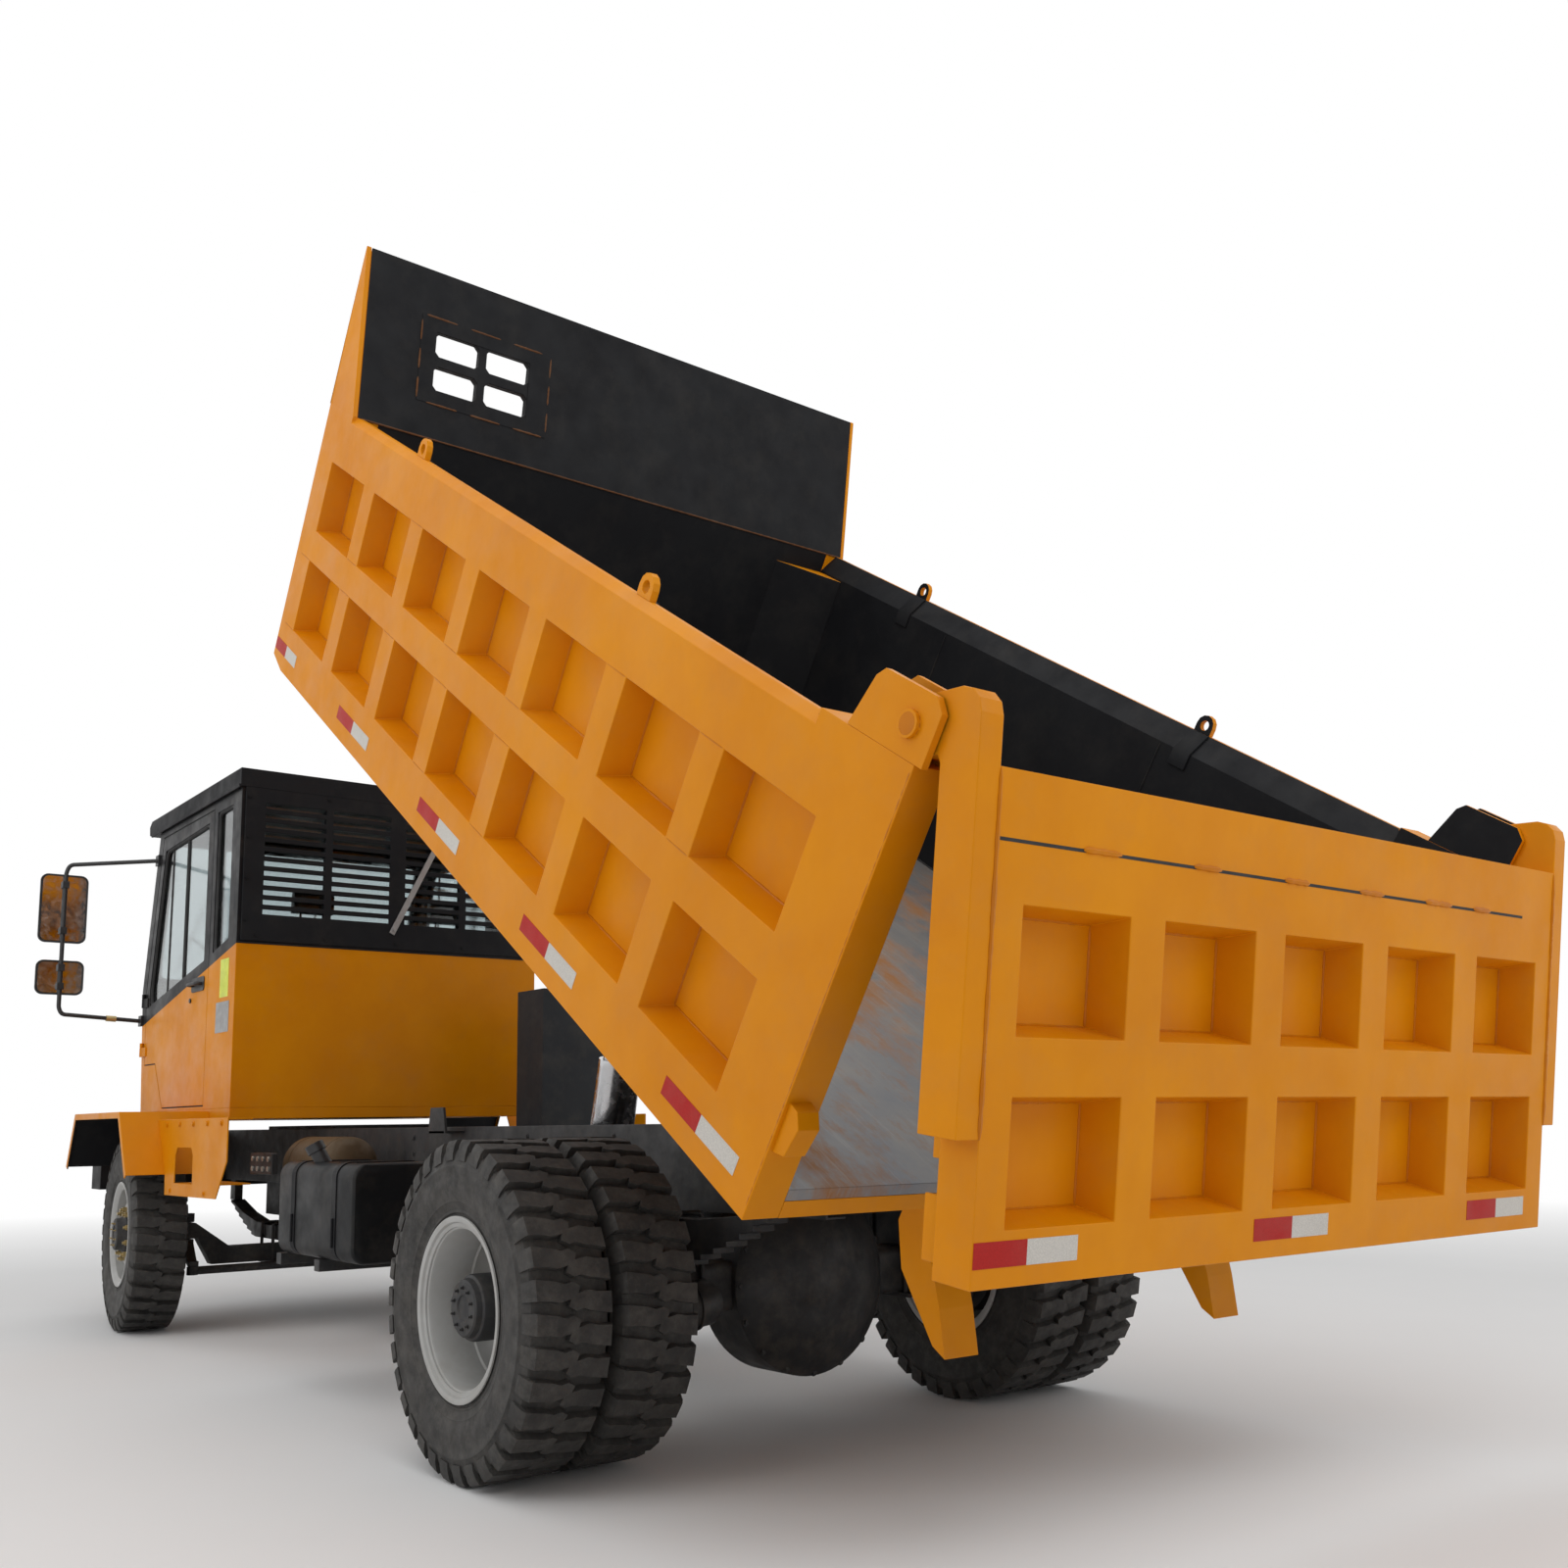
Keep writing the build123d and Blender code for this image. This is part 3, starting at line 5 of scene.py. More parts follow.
import bmesh
import bpy
from mathutils import Matrix, Vector


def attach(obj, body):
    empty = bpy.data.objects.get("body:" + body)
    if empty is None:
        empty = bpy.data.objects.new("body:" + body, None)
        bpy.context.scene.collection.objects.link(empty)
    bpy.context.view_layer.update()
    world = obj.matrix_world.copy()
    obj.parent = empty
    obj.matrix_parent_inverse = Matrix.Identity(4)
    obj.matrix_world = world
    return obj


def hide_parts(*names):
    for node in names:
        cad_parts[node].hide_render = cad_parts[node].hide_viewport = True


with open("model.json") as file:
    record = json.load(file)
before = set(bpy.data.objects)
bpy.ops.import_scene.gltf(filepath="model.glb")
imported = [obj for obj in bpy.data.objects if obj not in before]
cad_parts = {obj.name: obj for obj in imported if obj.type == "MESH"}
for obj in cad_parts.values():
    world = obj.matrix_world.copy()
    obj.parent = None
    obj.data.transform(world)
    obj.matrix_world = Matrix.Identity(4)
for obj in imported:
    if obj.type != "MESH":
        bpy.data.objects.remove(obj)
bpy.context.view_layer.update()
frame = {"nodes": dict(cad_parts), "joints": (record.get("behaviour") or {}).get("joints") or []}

# Mining dump truck, dressed round its fixed frame. Metres; +X forward, +Y left, +Z up.
# Truck places count X from the rear axle. The bed, with u forward and w up its side walls,
# and the tailgate have tilted frames of their own.

JOINT = {j["name"]: Vector(j["pos_m"]) for j in frame["joints"] if "pos_m" in j}
AXLE_X = JOINT["wheels_rl_spin"].x
FRONT_AXLE_X = 4.643
TYRE_R = 0.545
BED_TILT = math.radians(33.2)
GATE_TILT = math.radians(7.5)
HINGE_U, HINGE_W = 0.651, -0.26

TRUCK = Matrix.Translation((AXLE_X, 0, 0))
BED = (Matrix.Translation(JOINT["bed_tip"]) @ Matrix.Rotation(-BED_TILT, 4, "Y")
       @ Matrix.Translation((-HINGE_U, 0, -HINGE_W)))
GATE = Matrix.Translation(JOINT["tailgate_swing"]) @ Matrix.Rotation(-GATE_TILT, 4, "Y")

# A piece is drawn once, or also mirrored to the right side
ONE, BOTH = (1,), (1, -1)

# Camera, fitted to the photo
CAMERA_AT = (-4.521, 3.537, 1.13)
CAMERA_YAW = math.radians(37.888)
CAMERA_PITCH = math.radians(8.353)
CAMERA_ROLL = math.radians(-0.815)
FOCAL_PX = 1496.67
CENTRE_PX = (799.47, 925.3)
PHOTO_PX = 1600

# Colours, linear
ORANGE = (0.72, 0.262, 0.0005)
ORANGE_SHADE = (0.64, 0.215, 0.0005)
BLACK = (0.008, 0.008, 0.0095)
DUST = (0.24, 0.2, 0.15)
WHITE = (1.0, 1.0, 1.0, 1.0)


# Node materials

class Graph:
    """The nodes of a world or a material, added and wired in one go."""

    def __init__(self, owner):
        owner.use_nodes = True
        self.owner, self.tree = owner, owner.node_tree

    def feed(self, socket, value):
        """Links an input to another node's output, or gives it a plain value."""
        if isinstance(value, bpy.types.NodeSocket):
            self.tree.links.new(value, socket)
        else:
            socket.default_value = value

    def add(self, kind, inputs=None, **settings):
        """A new node with its inputs fed."""
        node = self.tree.nodes.new(kind)
        for key, value in settings.items():
            setattr(node, key, value)
        for key, value in (inputs or {}).items():
            self.feed(node.inputs[key], value)
        return node

    def ramp(self, value, low, high, to_low=0.0, to_high=1.0):
        """Maps low..high to to_low..to_high, clamped."""
        return self.add("ShaderNodeMapRange", {"Value": value, "From Min": low, "From Max": high,
                                               "To Min": to_low, "To Max": to_high}).outputs[0]

    def math(self, operation, a, b=0.0):
        return self.add("ShaderNodeMath", {0: a, 1: b}, operation=operation).outputs[0]


class Paint(Graph):
    """A material whose nodes read the piece's own coordinates."""

    def __init__(self, name):
        super().__init__(bpy.data.materials.new(name))
        self.shader = self.tree.nodes["Principled BSDF"]
        self.coords = self.add("ShaderNodeTexCoord").outputs["Object"]

    def noise(self, scale, detail, rough, stretch=None):
        coords = self.coords
        if stretch:
            coords = self.add("ShaderNodeMapping", {"Vector": coords, "Scale": stretch}).outputs[0]
        return self.add("ShaderNodeTexNoise", {"Vector": coords, "Scale": scale, "Detail": detail,
                                               "Roughness": rough}).outputs["Fac"]

    def sheen(self, scale, low, high, detail=4.0):
        """A roughness that drifts between two levels."""
        return self.ramp(self.noise(scale, detail, 0.6), 0.3, 0.7, low, high)

    def mix(self, share, a, b):
        node = self.add("ShaderNodeMix", data_type="RGBA")
        self.feed(node.inputs["Factor"], share)
        for socket, value in (("A", a), ("B", b)):
            target = [i for i in node.inputs if i.name == socket and i.type == "RGBA"][0]
            self.feed(target, value if isinstance(value, bpy.types.NodeSocket) else (*value, 1.0))
        return [o for o in node.outputs if o.type == "RGBA"][0]

    def patches(self, base, colour, scale, detail, rough, low, high, thinned=(), stretch=None):
        """Patches of a colour over the base, none where noise is below low, full above high."""
        share = self.ramp(self.noise(scale, detail, rough, stretch), low, high)
        for factor in thinned:
            share = self.math("MULTIPLY", share, factor)
        return self.mix(share, base, colour)

    def plane(self, normal, offset):
        """Distance of a point from a plane, in the piece's own frame."""
        dot = self.add("ShaderNodeVectorMath", {0: self.coords, 1: normal}, operation="DOT_PRODUCT")
        return self.math("SUBTRACT", dot.outputs["Value"], offset)

    def bump(self, height, strength, distance):
        node = self.add("ShaderNodeBump", {"Height": height, "Strength": strength, "Distance": distance})
        self.feed(self.shader.inputs["Normal"], node.outputs[0])

    def finish(self, colour, roughness, metallic=0.0, **plain):
        self.feed(self.shader.inputs["Base Color"], colour)
        self.feed(self.shader.inputs["Roughness"], roughness)
        self.shader.inputs["Metallic"].default_value = metallic
        for key, value in plain.items():
            self.shader.inputs[key.replace("_", " ")].default_value = value
        return self.owner


def toned(colour, gain, lift=0.0):
    """A colour made darker or lighter."""
    return tuple(gain * c + lift for c in colour)


def enamel(name, colour, shade, roughness=0.38, dust=0.08, black_side=None):
    """Brushed enamel on plate: cloudy colour, orange peel, dust in patches.

    black_side is a plane, normal and offset, past which the plate is painted black.
    """
    g = Paint(name)
    base = g.patches(colour, shade, 1.7, 5.0, 0.65, 0.35, 0.68)
    base = g.patches(base, shade, 9.0, 3.0, 0.6, 0.5, 0.78, (0.3,), (1.0, 1.0, 0.18))
    if black_side:
        base = g.mix(g.ramp(g.plane(*black_side), -0.001, 0.001), base, BLACK)
    base = g.patches(base, DUST, 5.0, 8.0, 0.7, 0.48, 0.75, (dust,))
    g.bump(g.noise(160.0, 2.0, 0.5), 0.05, 0.0006)
    return g.finish(base, g.sheen(7.0, roughness - 0.07, roughness + 0.16, 5.0), Specular_IOR_Level=0.14)


def chassis_paint(name, colour, roughness=0.55, dust=0.22):
    """Thin black chassis paint with road dust on it, more of it low down."""
    g = Paint(name)
    base = g.patches(colour, toned(colour, 1.7, 0.006), 3.0, 6.0, 0.7, 0.4, 0.7)
    height = g.add("ShaderNodeSeparateXYZ", {0: g.coords}).outputs["Z"]
    low = g.ramp(height, 0.2, 1.3, 1.0, 0.35)
    base = g.patches(base, DUST, 11.0, 8.0, 0.72, 0.45, 0.75, (dust, low))
    g.bump(g.noise(70.0, 4.0, 0.6), 0.18, 0.0015)
    return g.finish(base, g.sheen(9.0, roughness - 0.12, roughness + 0.22, 5.0))


def worn_steel(name):
    """Floor plate scoured by its load: grey-blue steel, orange rust in clouds and streaks along X."""
    g = Paint(name)
    steel = g.patches((0.19, 0.2, 0.22), (0.3, 0.27, 0.24), 2.2, 6.0, 0.7, 0.35, 0.7)
    rust = g.ramp(g.noise(3.1, 8.0, 0.75, (0.5, 1.0, 0.5)), 0.47, 0.66)
    base = g.mix(rust, steel, (0.34, 0.15, 0.05))
    base = g.patches(base, (0.42, 0.4, 0.38), 30.0, 4.0, 0.8, 0.55, 0.8, (0.5,), (0.05, 1.0, 0.05))
    g.bump(g.noise(40.0, 6.0, 0.7), 0.25, 0.002)
    return g.finish(base, g.ramp(rust, 0.0, 1.0, 0.42, 0.75), metallic=0.35)


def rubber(name):
    """Tyre rubber: near black, dusty in patches, with fine moulding grain."""
    g = Paint(name)
    base = g.patches((0.022, 0.021, 0.02), (0.045, 0.041, 0.037), 6.0, 6.0, 0.7, 0.4, 0.7)
    base = g.patches(base, (0.095, 0.088, 0.078), 17.0, 8.0, 0.75, 0.46, 0.72, (0.55,))
    g.bump(g.noise(240.0, 3.0, 0.6), 0.2, 0.0008)
    return g.finish(base, g.sheen(21.0, 0.62, 0.9))


def bare_metal(name, colour, roughness, metallic=1.0, dirt=0.3):
    """Unpainted metal with a film of brown dirt in patches."""
    g = Paint(name)
    base = g.patches(colour, (0.16, 0.12, 0.09), 13.0, 7.0, 0.7, 0.45, 0.72, (dirt,))
    g.bump(g.noise(90.0, 3.0, 0.6), 0.08, 0.0008)
    return g.finish(base, g.sheen(25.0, roughness - 0.05, roughness + 0.18), metallic)


def plastic(name, colour, roughness=0.45):
    """Moulded plastic or sealing rubber with a fine grain."""
    g = Paint(name)
    base = g.patches(colour, toned(colour, 1.35, 0.004), 9.0, 5.0, 0.6, 0.4, 0.7)
    g.bump(g.noise(500.0, 2.0, 0.5), 0.12, 0.0004)
    return g.finish(base, g.sheen(12.0, roughness - 0.08, roughness + 0.12))


def window_glass(name):
    """Clear glass with faint smears."""
    g = Paint(name)
    smears = g.ramp(g.noise(4.0, 6.0, 0.7), 0.4, 0.75, 0.03, 0.12)
    g.owner.use_raytrace_refraction = True
    return g.finish((0.6, 0.66, 0.67, 1.0), smears, Transmission_Weight=1.0, IOR=1.45)


def cloth(name, colour):
    """Woven seat cloth, faded in patches."""
    g = Paint(name)
    weave = g.add("ShaderNodeTexChecker", {"Vector": g.coords, "Scale": 420.0}).outputs["Fac"]
    base = g.mix(g.math("MULTIPLY", weave, 0.5), colour, toned(colour, 1.6, 0.01))
    base = g.patches(base, toned(colour, 0.7), 5.0, 6.0, 0.7, 0.45, 0.75)
    g.bump(weave, 0.25, 0.0008)
    return g.finish(base, g.sheen(30.0, 0.8, 0.95))


def tape(name, colour):
    """Reflective tape: a fine grid of cells under a clear face."""
    g = Paint(name)
    cells = g.add("ShaderNodeTexVoronoi", {"Vector": g.coords, "Scale": 260.0}).outputs["Distance"]
    base = g.mix(g.ramp(cells, 0.1, 0.6), colour, toned(colour, 0.82))
    base = g.patches(base, DUST, 6.0, 6.0, 0.7, 0.5, 0.75, (0.12,))
    g.bump(cells, 0.1, 0.0004)
    return g.finish(base, g.sheen(9.0, 0.4, 0.6), Specular_IOR_Level=0.25)


# Two (x, z) truck points of the slanting line where the cab turns from orange to black
CAB_SPLIT_REAR = (3.835, 2.172)
CAB_SPLIT_FRONT = (5.61, 1.834)


def split_plane(a, b):
    """The plane through two (x, z) truck points and along Y, positive above."""
    run = Vector((b[0] - a[0], 0, b[1] - a[1])).normalized()
    normal = Vector((-run.z, 0, run.x))
    return normal, normal.dot(Vector((a[0] + AXLE_X, 0, a[1])))


CAB_SPLIT = split_plane(CAB_SPLIT_REAR, CAB_SPLIT_FRONT)
# Each look: its material, and the CAD model's slot that it fills
LOOKS = {
    "yellow": (enamel("orange_enamel", ORANGE, ORANGE_SHADE), "yellow_paint"),
    "cab": (enamel("cab_enamel", ORANGE, ORANGE_SHADE, black_side=CAB_SPLIT), "yellow_paint"),
    "weld": (enamel("painted_weld", (0.6, 0.2, 0.0015), (0.48, 0.14, 0.0015), 0.3, 0.15),
             "yellow_paint"),
    # black enamel, which on the fenders' faces over the front tyre is painted shade
    "black": (enamel("black_enamel_and_shade", BLACK, (0.012, 0.0125, 0.014), 0.55, 0.04), "black_paint"),
    "black_weld": (enamel("black_weld", (0.016, 0.016, 0.017), (0.024, 0.023, 0.022), 0.36, 0.15),
                   "black_paint"),
    "rust": (enamel("weld_rust", (0.16, 0.065, 0.025), (0.09, 0.045, 0.025), 0.7, 0.2), "worn_steel"),
    "chassis": (chassis_paint("chassis_paint", (0.011, 0.011, 0.012)), "chassis_black"),
    "iron": (chassis_paint("axle_paint", (0.012, 0.012, 0.013), 0.6), "axle_iron"),
    "tank": (enamel("tank_enamel", (0.009, 0.0095, 0.0105), (0.015, 0.0155, 0.0165), 0.42, 0.1),
             "tank_paint"),
    "oil_tank": (enamel("oil_tank_enamel", (0.03, 0.033, 0.037), (0.04, 0.043, 0.046), 0.5, 0.12),
                 "oil_tank_grey"),
    "drum": (enamel("drum_enamel", (0.1, 0.065, 0.035), (0.07, 0.045, 0.025), 0.5, 0.35), "drum_brown"),
    "steel": (worn_steel("floor_steel"), "worn_steel"),
    "rubber": (rubber("tyre_rubber"), "tyre_rubber"),
    "rim": (enamel("rim_silver", (0.46, 0.46, 0.45), (0.33, 0.325, 0.31), 0.34, 0.3), "rim_silver"),
    "chrome": (bare_metal("rod_chrome", (0.55, 0.55, 0.56), 0.16, dirt=0.1), "hoist_chrome"),
    "zinc": (bare_metal("zinc_plate", (0.5, 0.49, 0.45), 0.35), "rim_silver"),
    "brass": (bare_metal("brass_nuts", (0.55, 0.42, 0.2), 0.38), "rim_silver"),
    "mirror": (bare_metal("mirror_silver", (0.7, 0.71, 0.72), 0.06, dirt=0.03), "window_glass"),
    "plastic": (plastic("black_plastic", (0.014, 0.014, 0.015)), "black_plastic"),
    # seal rubber, which also paints the shadow in the tailgate's slot
    "dark_rubber_and_shadow": (plastic("seal_rubber_and_shadow", (0.01, 0.01, 0.01), 0.7), "black_plastic"),
    "tape_red": (tape("red_tape", (0.46, 0.01, 0.007)), "yellow_paint"),
    "tape_white": (tape("white_tape", (0.66, 0.63, 0.58)), "yellow_paint"),
    "label": (plastic("lime_label", (0.58, 0.66, 0.05), 0.4), "yellow_paint"),
    "plate": (bare_metal("grey_plate", (0.34, 0.34, 0.34), 0.4), "rim_silver"),
    "lens": (plastic("lamp_lens", (0.42, 0.44, 0.46), 0.12), "lamp_lens"),
    "red_lens": (plastic("indicator_lens", (0.5, 0.12, 0.01), 0.15), "lamp_lens"),
    "glass": (window_glass("window_glass"), "window_glass"),
    "cloth": (cloth("seat_cloth", (0.02, 0.02, 0.022)), "seat_fabric"),
}

NODE_LOOKS = {
    "yellow": "bed_side_l bed_side_r bed_front bed_beams bed_fittings gate_panel gate_arms fenders steps"
              " cab_floor",
    "cab": "cab_sides cab_front cab_rear door_l door_r",
    "black": "cab_roof rear_guard bumper",
    "chassis": "frame_rails cross_members bed_hinge hoist_mount spring_hangers tank_rack battery_box"
               " leaf_springs",
    "iron": "front_axle rear_axle engine driveline knuckle_l knuckle_r tie_rod",
    "tank": "fuel_tank",
    "oil_tank": "hydraulic_tank hoist_barrels",
    "drum": "air_drum",
    "steel": "bed_floor",
    "rubber": "tyre_fl tyre_fr tyres_rl tyres_rr",
    "rim": "rim_fl rim_fr rims_rl rims_rr",
    "chrome": "hoist_stage_1 hoist_stage_2 hoist_rods",
    "plastic": "dashboard steering_wheel mirrors",
    "lens": "headlamps",
    "glass": "cab_glass door_glass_l door_glass_r",
    "cloth": "seats",
}
UNROUNDED = ("rubber", "glass", "cloth")
NODE_BEVEL = 0.003
SHARP_DEG = 35.0
FACET_GAP, FACET_DEG = 0.00005, 0.5
# how far the walls are black inside, and the jambs of the headboard's left window, in bed places
BLACK_TO_U = 4.09
JAMB_Y, JAMB_W = (0.5, 1.05), (1.3, 1.72)


def faces_inward(at, normal):
    """Faces towards the load, up to the front wall."""
    return at.x < BLACK_TO_U and normal.y * math.copysign(1.0, at.y) < -0.3


def board_black(at, normal):
    """Faces towards the load, and the jambs of the headboard's left window."""
    in_window = JAMB_Y[0] < at.y < JAMB_Y[1] and JAMB_W[0] < at.z < JAMB_W[1]
    return normal.x < -0.5 or in_window and normal.x < 0.9


def gate_inside(at, normal):
    """Faces of the tailgate towards the load."""
    return normal.x > 0.5


def fender_painted_shade(at, normal):
    """Faces that look down at the front tyre, blackened as painted shade under the arch."""
    out = Vector((at.x - FRONT_AXLE_X, 0, at.z - TYRE_R))
    return abs(normal.y) < 0.5 and out.dot(normal) < 0


# faces to blacken on each node: the load sides of bed and tailgate are painted black, the fenders' faces
# over the tyre are painted shade
BLACK_FACES = {
    "bed_side_l": (BED, faces_inward), "bed_side_r": (BED, faces_inward),
    "bed_fittings": (BED, faces_inward), "bed_front": (BED, board_black),
    "gate_panel": (GATE, gate_inside), "fenders": (TRUCK, fender_painted_shade),
}


def dress_nodes():
    """Gives each node its finish, paints its black faces, those of the fenders as painted shade, and rounds
    its sharp edges.
    """
    for look, names in NODE_LOOKS.items():
        for name in names.split():
            node = frame["nodes"][name]
            node.data.materials.clear()
            node.data.materials.append(LOOKS[look][0])
            if name in BLACK_FACES:
                paint_black(node, *BLACK_FACES[name])
            if look not in UNROUNDED:
                soften(node)


def paint_black(node, place, chosen):
    """Blackens the faces that a test picks from their centre and normal in a frame."""
    node.data.materials.append(LOOKS["black"][0])
    to_frame = place.inverted() @ node.matrix_world
    for face in node.data.polygons:
        if chosen(to_frame @ face.center, (to_frame.to_3x3() @ face.normal).normalized()):
            face.material_index = 1


def soften(node):
    """Merges a node's flat facets and rounds its edges a little."""
    weld = node.modifiers.new("weld", "WELD")
    weld.merge_threshold = FACET_GAP
    flat = node.modifiers.new("flat", "DECIMATE")
    flat.decimate_type = "DISSOLVE"
    flat.angle_limit = math.radians(FACET_DEG)
    flat.delimit = {"MATERIAL"}
    round_edges(node, NODE_BEVEL)


def round_edges(thing, width):
    """Rounds an object's sharp edges."""
    bevel = thing.modifiers.new("bevel", "BEVEL")
    bevel.width = width
    bevel.segments = 2
    bevel.limit_method = "ANGLE"
    bevel.angle_limit = math.radians(SHARP_DEG)
    bevel.harden_normals = True


# Points and outlines

def turns(count, shift=0.0):
    """Angles evenly round a circle, the first shifted by a share of a step."""
    return [2 * math.pi * (i + shift) / count for i in range(count)]


def square_to(along):
    """A direction of length one, and two more square to it and to each other."""
    along = Vector(along).normalized()
    across = along.orthogonal().normalized()
    return along, across, along.cross(across)


def circle(at, along, radius, count, turn=0.0):
    """Points on a circle round a place, square to a direction."""
    _, across, other = square_to(along)
    return [Vector(at) + (across * math.cos(turn + a) + other * math.sin(turn + a)) * radius
            for a in turns(count)]


def corners(a, b):
    """The corners of a rectangle that spans a one way and b the other."""
    return [(a[0], b[0]), (a[1], b[0]), (a[1], b[1]), (a[0], b[1])]


def rounded(x, y, corner, steps=5):
    """A rectangle of flat points with round corners."""
    points = []
    for cx, cy, start in ((x[1] - corner, y[1] - corner, 0), (x[0] + corner, y[1] - corner, 90),
                          (x[0] + corner, y[0] + corner, 180), (x[1] - corner, y[0] + corner, 270)):
        for i in range(steps + 1):
            a = math.radians(start + 90 * i / steps)
            points.append((cx + corner * math.cos(a), cy + corner * math.sin(a)))
    return points


def tapered(outline, centre, stations):
    """Rings of a (y, z) outline, each set at an x and scaled about a centre."""
    cy, cz = centre
    return [[(x, cy + (y - cy) * share, cz + (z - cz) * share) for y, z in outline]
            for x, share in stations]


# Pieces

MERGE, SPECK = 0.00002, 0.00001
# a washer's radius for a bolt head's of one, and a weld bead's ends and lumps as shares of its radius
WASHER = 1.45
BEAD_END, BEAD_LUMPS = 0.4, (0.75, 1.2)


class Piece:
    """One mesh made of simple solids in a frame of its own, which then rides on a body."""

    def __init__(self, name, look, sides=ONE, body="chassis", place=TRUCK):
        self.name, self.look, self.sides, self.body, self.place = name, look, sides, body, place
        self.bm = bmesh.new()

    def solid(self, rings, capped=True, looped=True):
        """A skin over rings of points, each joined to the next, its ends closed if capped."""
        for side in self.sides:
            rows = [[self.bm.verts.new((p[0], p[1] * side, p[2])) for p in ring] for ring in rings]
            faces = []
            for low, high in zip(rows, rows[1:]):
                count = len(low)
                for i in range(count if looped else count - 1):
                    j = (i + 1) % count
                    faces.append((low[i], low[j], high[j], high[i]))
            if capped:
                faces += [rows[0][::-1], rows[-1]]
            for face in faces:
                self.bm.faces.new(face if side > 0 else face[::-1])
        return self

    def prism(self, outline, axis, span):
        """A flat outline, given in the two other axes in order, pushed along an axis."""
        order = {"x": (2, 0, 1), "y": (0, 2, 1), "z": (0, 1, 2)}[axis]
        return self.solid([[tuple((a, b, level)[i] for i in order) for a, b in outline]
                           for level in span])

    def block(self, x, y, z):
        return self.prism(corners(x, y), "z", z)

    def rod(self, a, b, radius, count=16, end_radius=None):
        """A round bar, which may end in another radius."""
        along = Vector(b) - Vector(a)
        last = radius if end_radius is None else end_radius
        return self.solid([circle(a, along, radius, count), circle(b, along, last, count)])

    def bolts(self, places, along, radius=0.011, height=0.008):
        """Hexagonal heads with a washer under each."""
        along = Vector(along).normalized()
        for at in places:
            at = Vector(at)
            self.rod(at - along * 0.002, at + along * 0.003, radius * WASHER, 16)
            self.rod(at, at + along * height, radius, 6)
        return self

    def pipe(self, points, radius, count=10, bend=0.05, steps=5):
        """A bent tube through points, its corners rounded."""
        points = [Vector(p) for p in points]
        path = [points[0]]
        for before, corner, after in zip(points, points[1:], points[2:]):
            near = min(bend, (corner - before).length / 2.2, (after - corner).length / 2.2)
            start = corner + (before - corner).normalized() * near
            end = corner + (after - corner).normalized() * near
            for i in range(steps + 1):
                t = i / steps
                path.append(start * (1 - t) ** 2 + corner * 2 * t * (1 - t) + end * t * t)
        path.append(points[-1])
        normal = (path[1] - path[0]).orthogonal().normalized()
        rings = []
        for i, at in enumerate(path):
            along = (path[min(i + 1, len(path) - 1)] - path[max(i - 1, 0)]).normalized()
            normal = (normal - along * normal.dot(along)).normalized()
            other = along.cross(normal)
            rings.append([at + (normal * math.cos(a) + other * math.sin(a)) * radius
                          for a in turns(count)])
        return self.solid(rings)

    def lathe(self, outline, at=(0, 0, 0), along=(0, 1, 0), count=64, closed=True):
        """An outline of (radius, place along the axis), turned round the axis.

        It is closed, unless it starts and ends on the axis.
        """
        along, across, other = square_to(along)
        at = Vector(at)
        rings = []
        for a in turns(count) + [0.0]:
            out = across * math.cos(a) + other * math.sin(a)
            rings.append([at + out * r + along * h for r, h in outline])
        return self.solid(rings, capped=False, looped=closed)

    def bead(self, a, b, radius, step=0.011, seed=0):
        """A weld bead: a low ridge with ripples and lumps."""
        draw = random.Random(seed)
        a, b = Vector(a), Vector(b)
        count = max(2, int((b - a).length / step))
        rings = []
        for i in range(count + 1):
            size = radius * (BEAD_END if i in (0, count) else draw.uniform(*BEAD_LUMPS))
            rings.append(circle(a.lerp(b, i / count), b - a, size, 6))
        return self.solid(rings)

    def done(self, bevel=0.0, smooth=SHARP_DEG, replaces=()):
        """Turns the mesh into an object, finishes it and sets it on its body."""
        bmesh.ops.remove_doubles(self.bm, verts=self.bm.verts, dist=MERGE)
        bmesh.ops.dissolve_degenerate(self.bm, edges=self.bm.edges, dist=SPECK)
        bmesh.ops.recalc_face_normals(self.bm, faces=self.bm.faces)
        self.bm.transform(self.place)
        if self.place.determinant() < 0:
            bmesh.ops.reverse_faces(self.bm, faces=self.bm.faces)
        for face in self.bm.faces:
            face.smooth = True
        for edge in self.bm.edges:
            edge.smooth = len(edge.link_faces) == 2 and edge.calc_face_angle(0.0) < math.radians(smooth)
        material, slot = LOOKS[self.look]
        piece = self.placed()
        piece.data.materials.append(material)
        if bevel:
            round_edges(piece, bevel)
        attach(piece, self.body)
        if replaces:
            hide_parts(*replaces)
        return piece

    def placed(self):
        """The mesh as an object in the scene."""
        mesh = bpy.data.meshes.new(self.name)
        self.bm.to_mesh(mesh)
        self.bm.free()
        return add_object(self.name, mesh)


def add_object(name, data):
    made = bpy.data.objects.new(name, data)
    bpy.context.scene.collection.objects.link(made)
    return made


# Wheels, drawn on their own centre with +Y outward

LUGS = 34
LUG_FOOT_R = 0.512
# how far a lug's top lies below the tyre's radius, and from where on its outer end does
LUG_DROP, LUG_END_DROP, LUG_END_Y = 0.0008, 0.0022, 0.12
# radius and distance from the middle plane, bead to crown
TYRE_WALL = (
    (0.268, 0.11), (0.27, 0.119), (0.29, 0.1235), (0.304, 0.1225), (0.308, 0.128), (0.313, 0.128),
    (0.317, 0.1265), (0.34, 0.134), (0.344, 0.1375), (0.35, 0.1375), (0.354, 0.1385), (0.385, 0.145),
    (0.415, 0.147), (0.45, 0.1455), (0.454, 0.1475), (0.46, 0.147), (0.464, 0.1435), (0.49, 0.138),
    (0.508, 0.131), (0.516, 0.118), (0.519, 0.06))
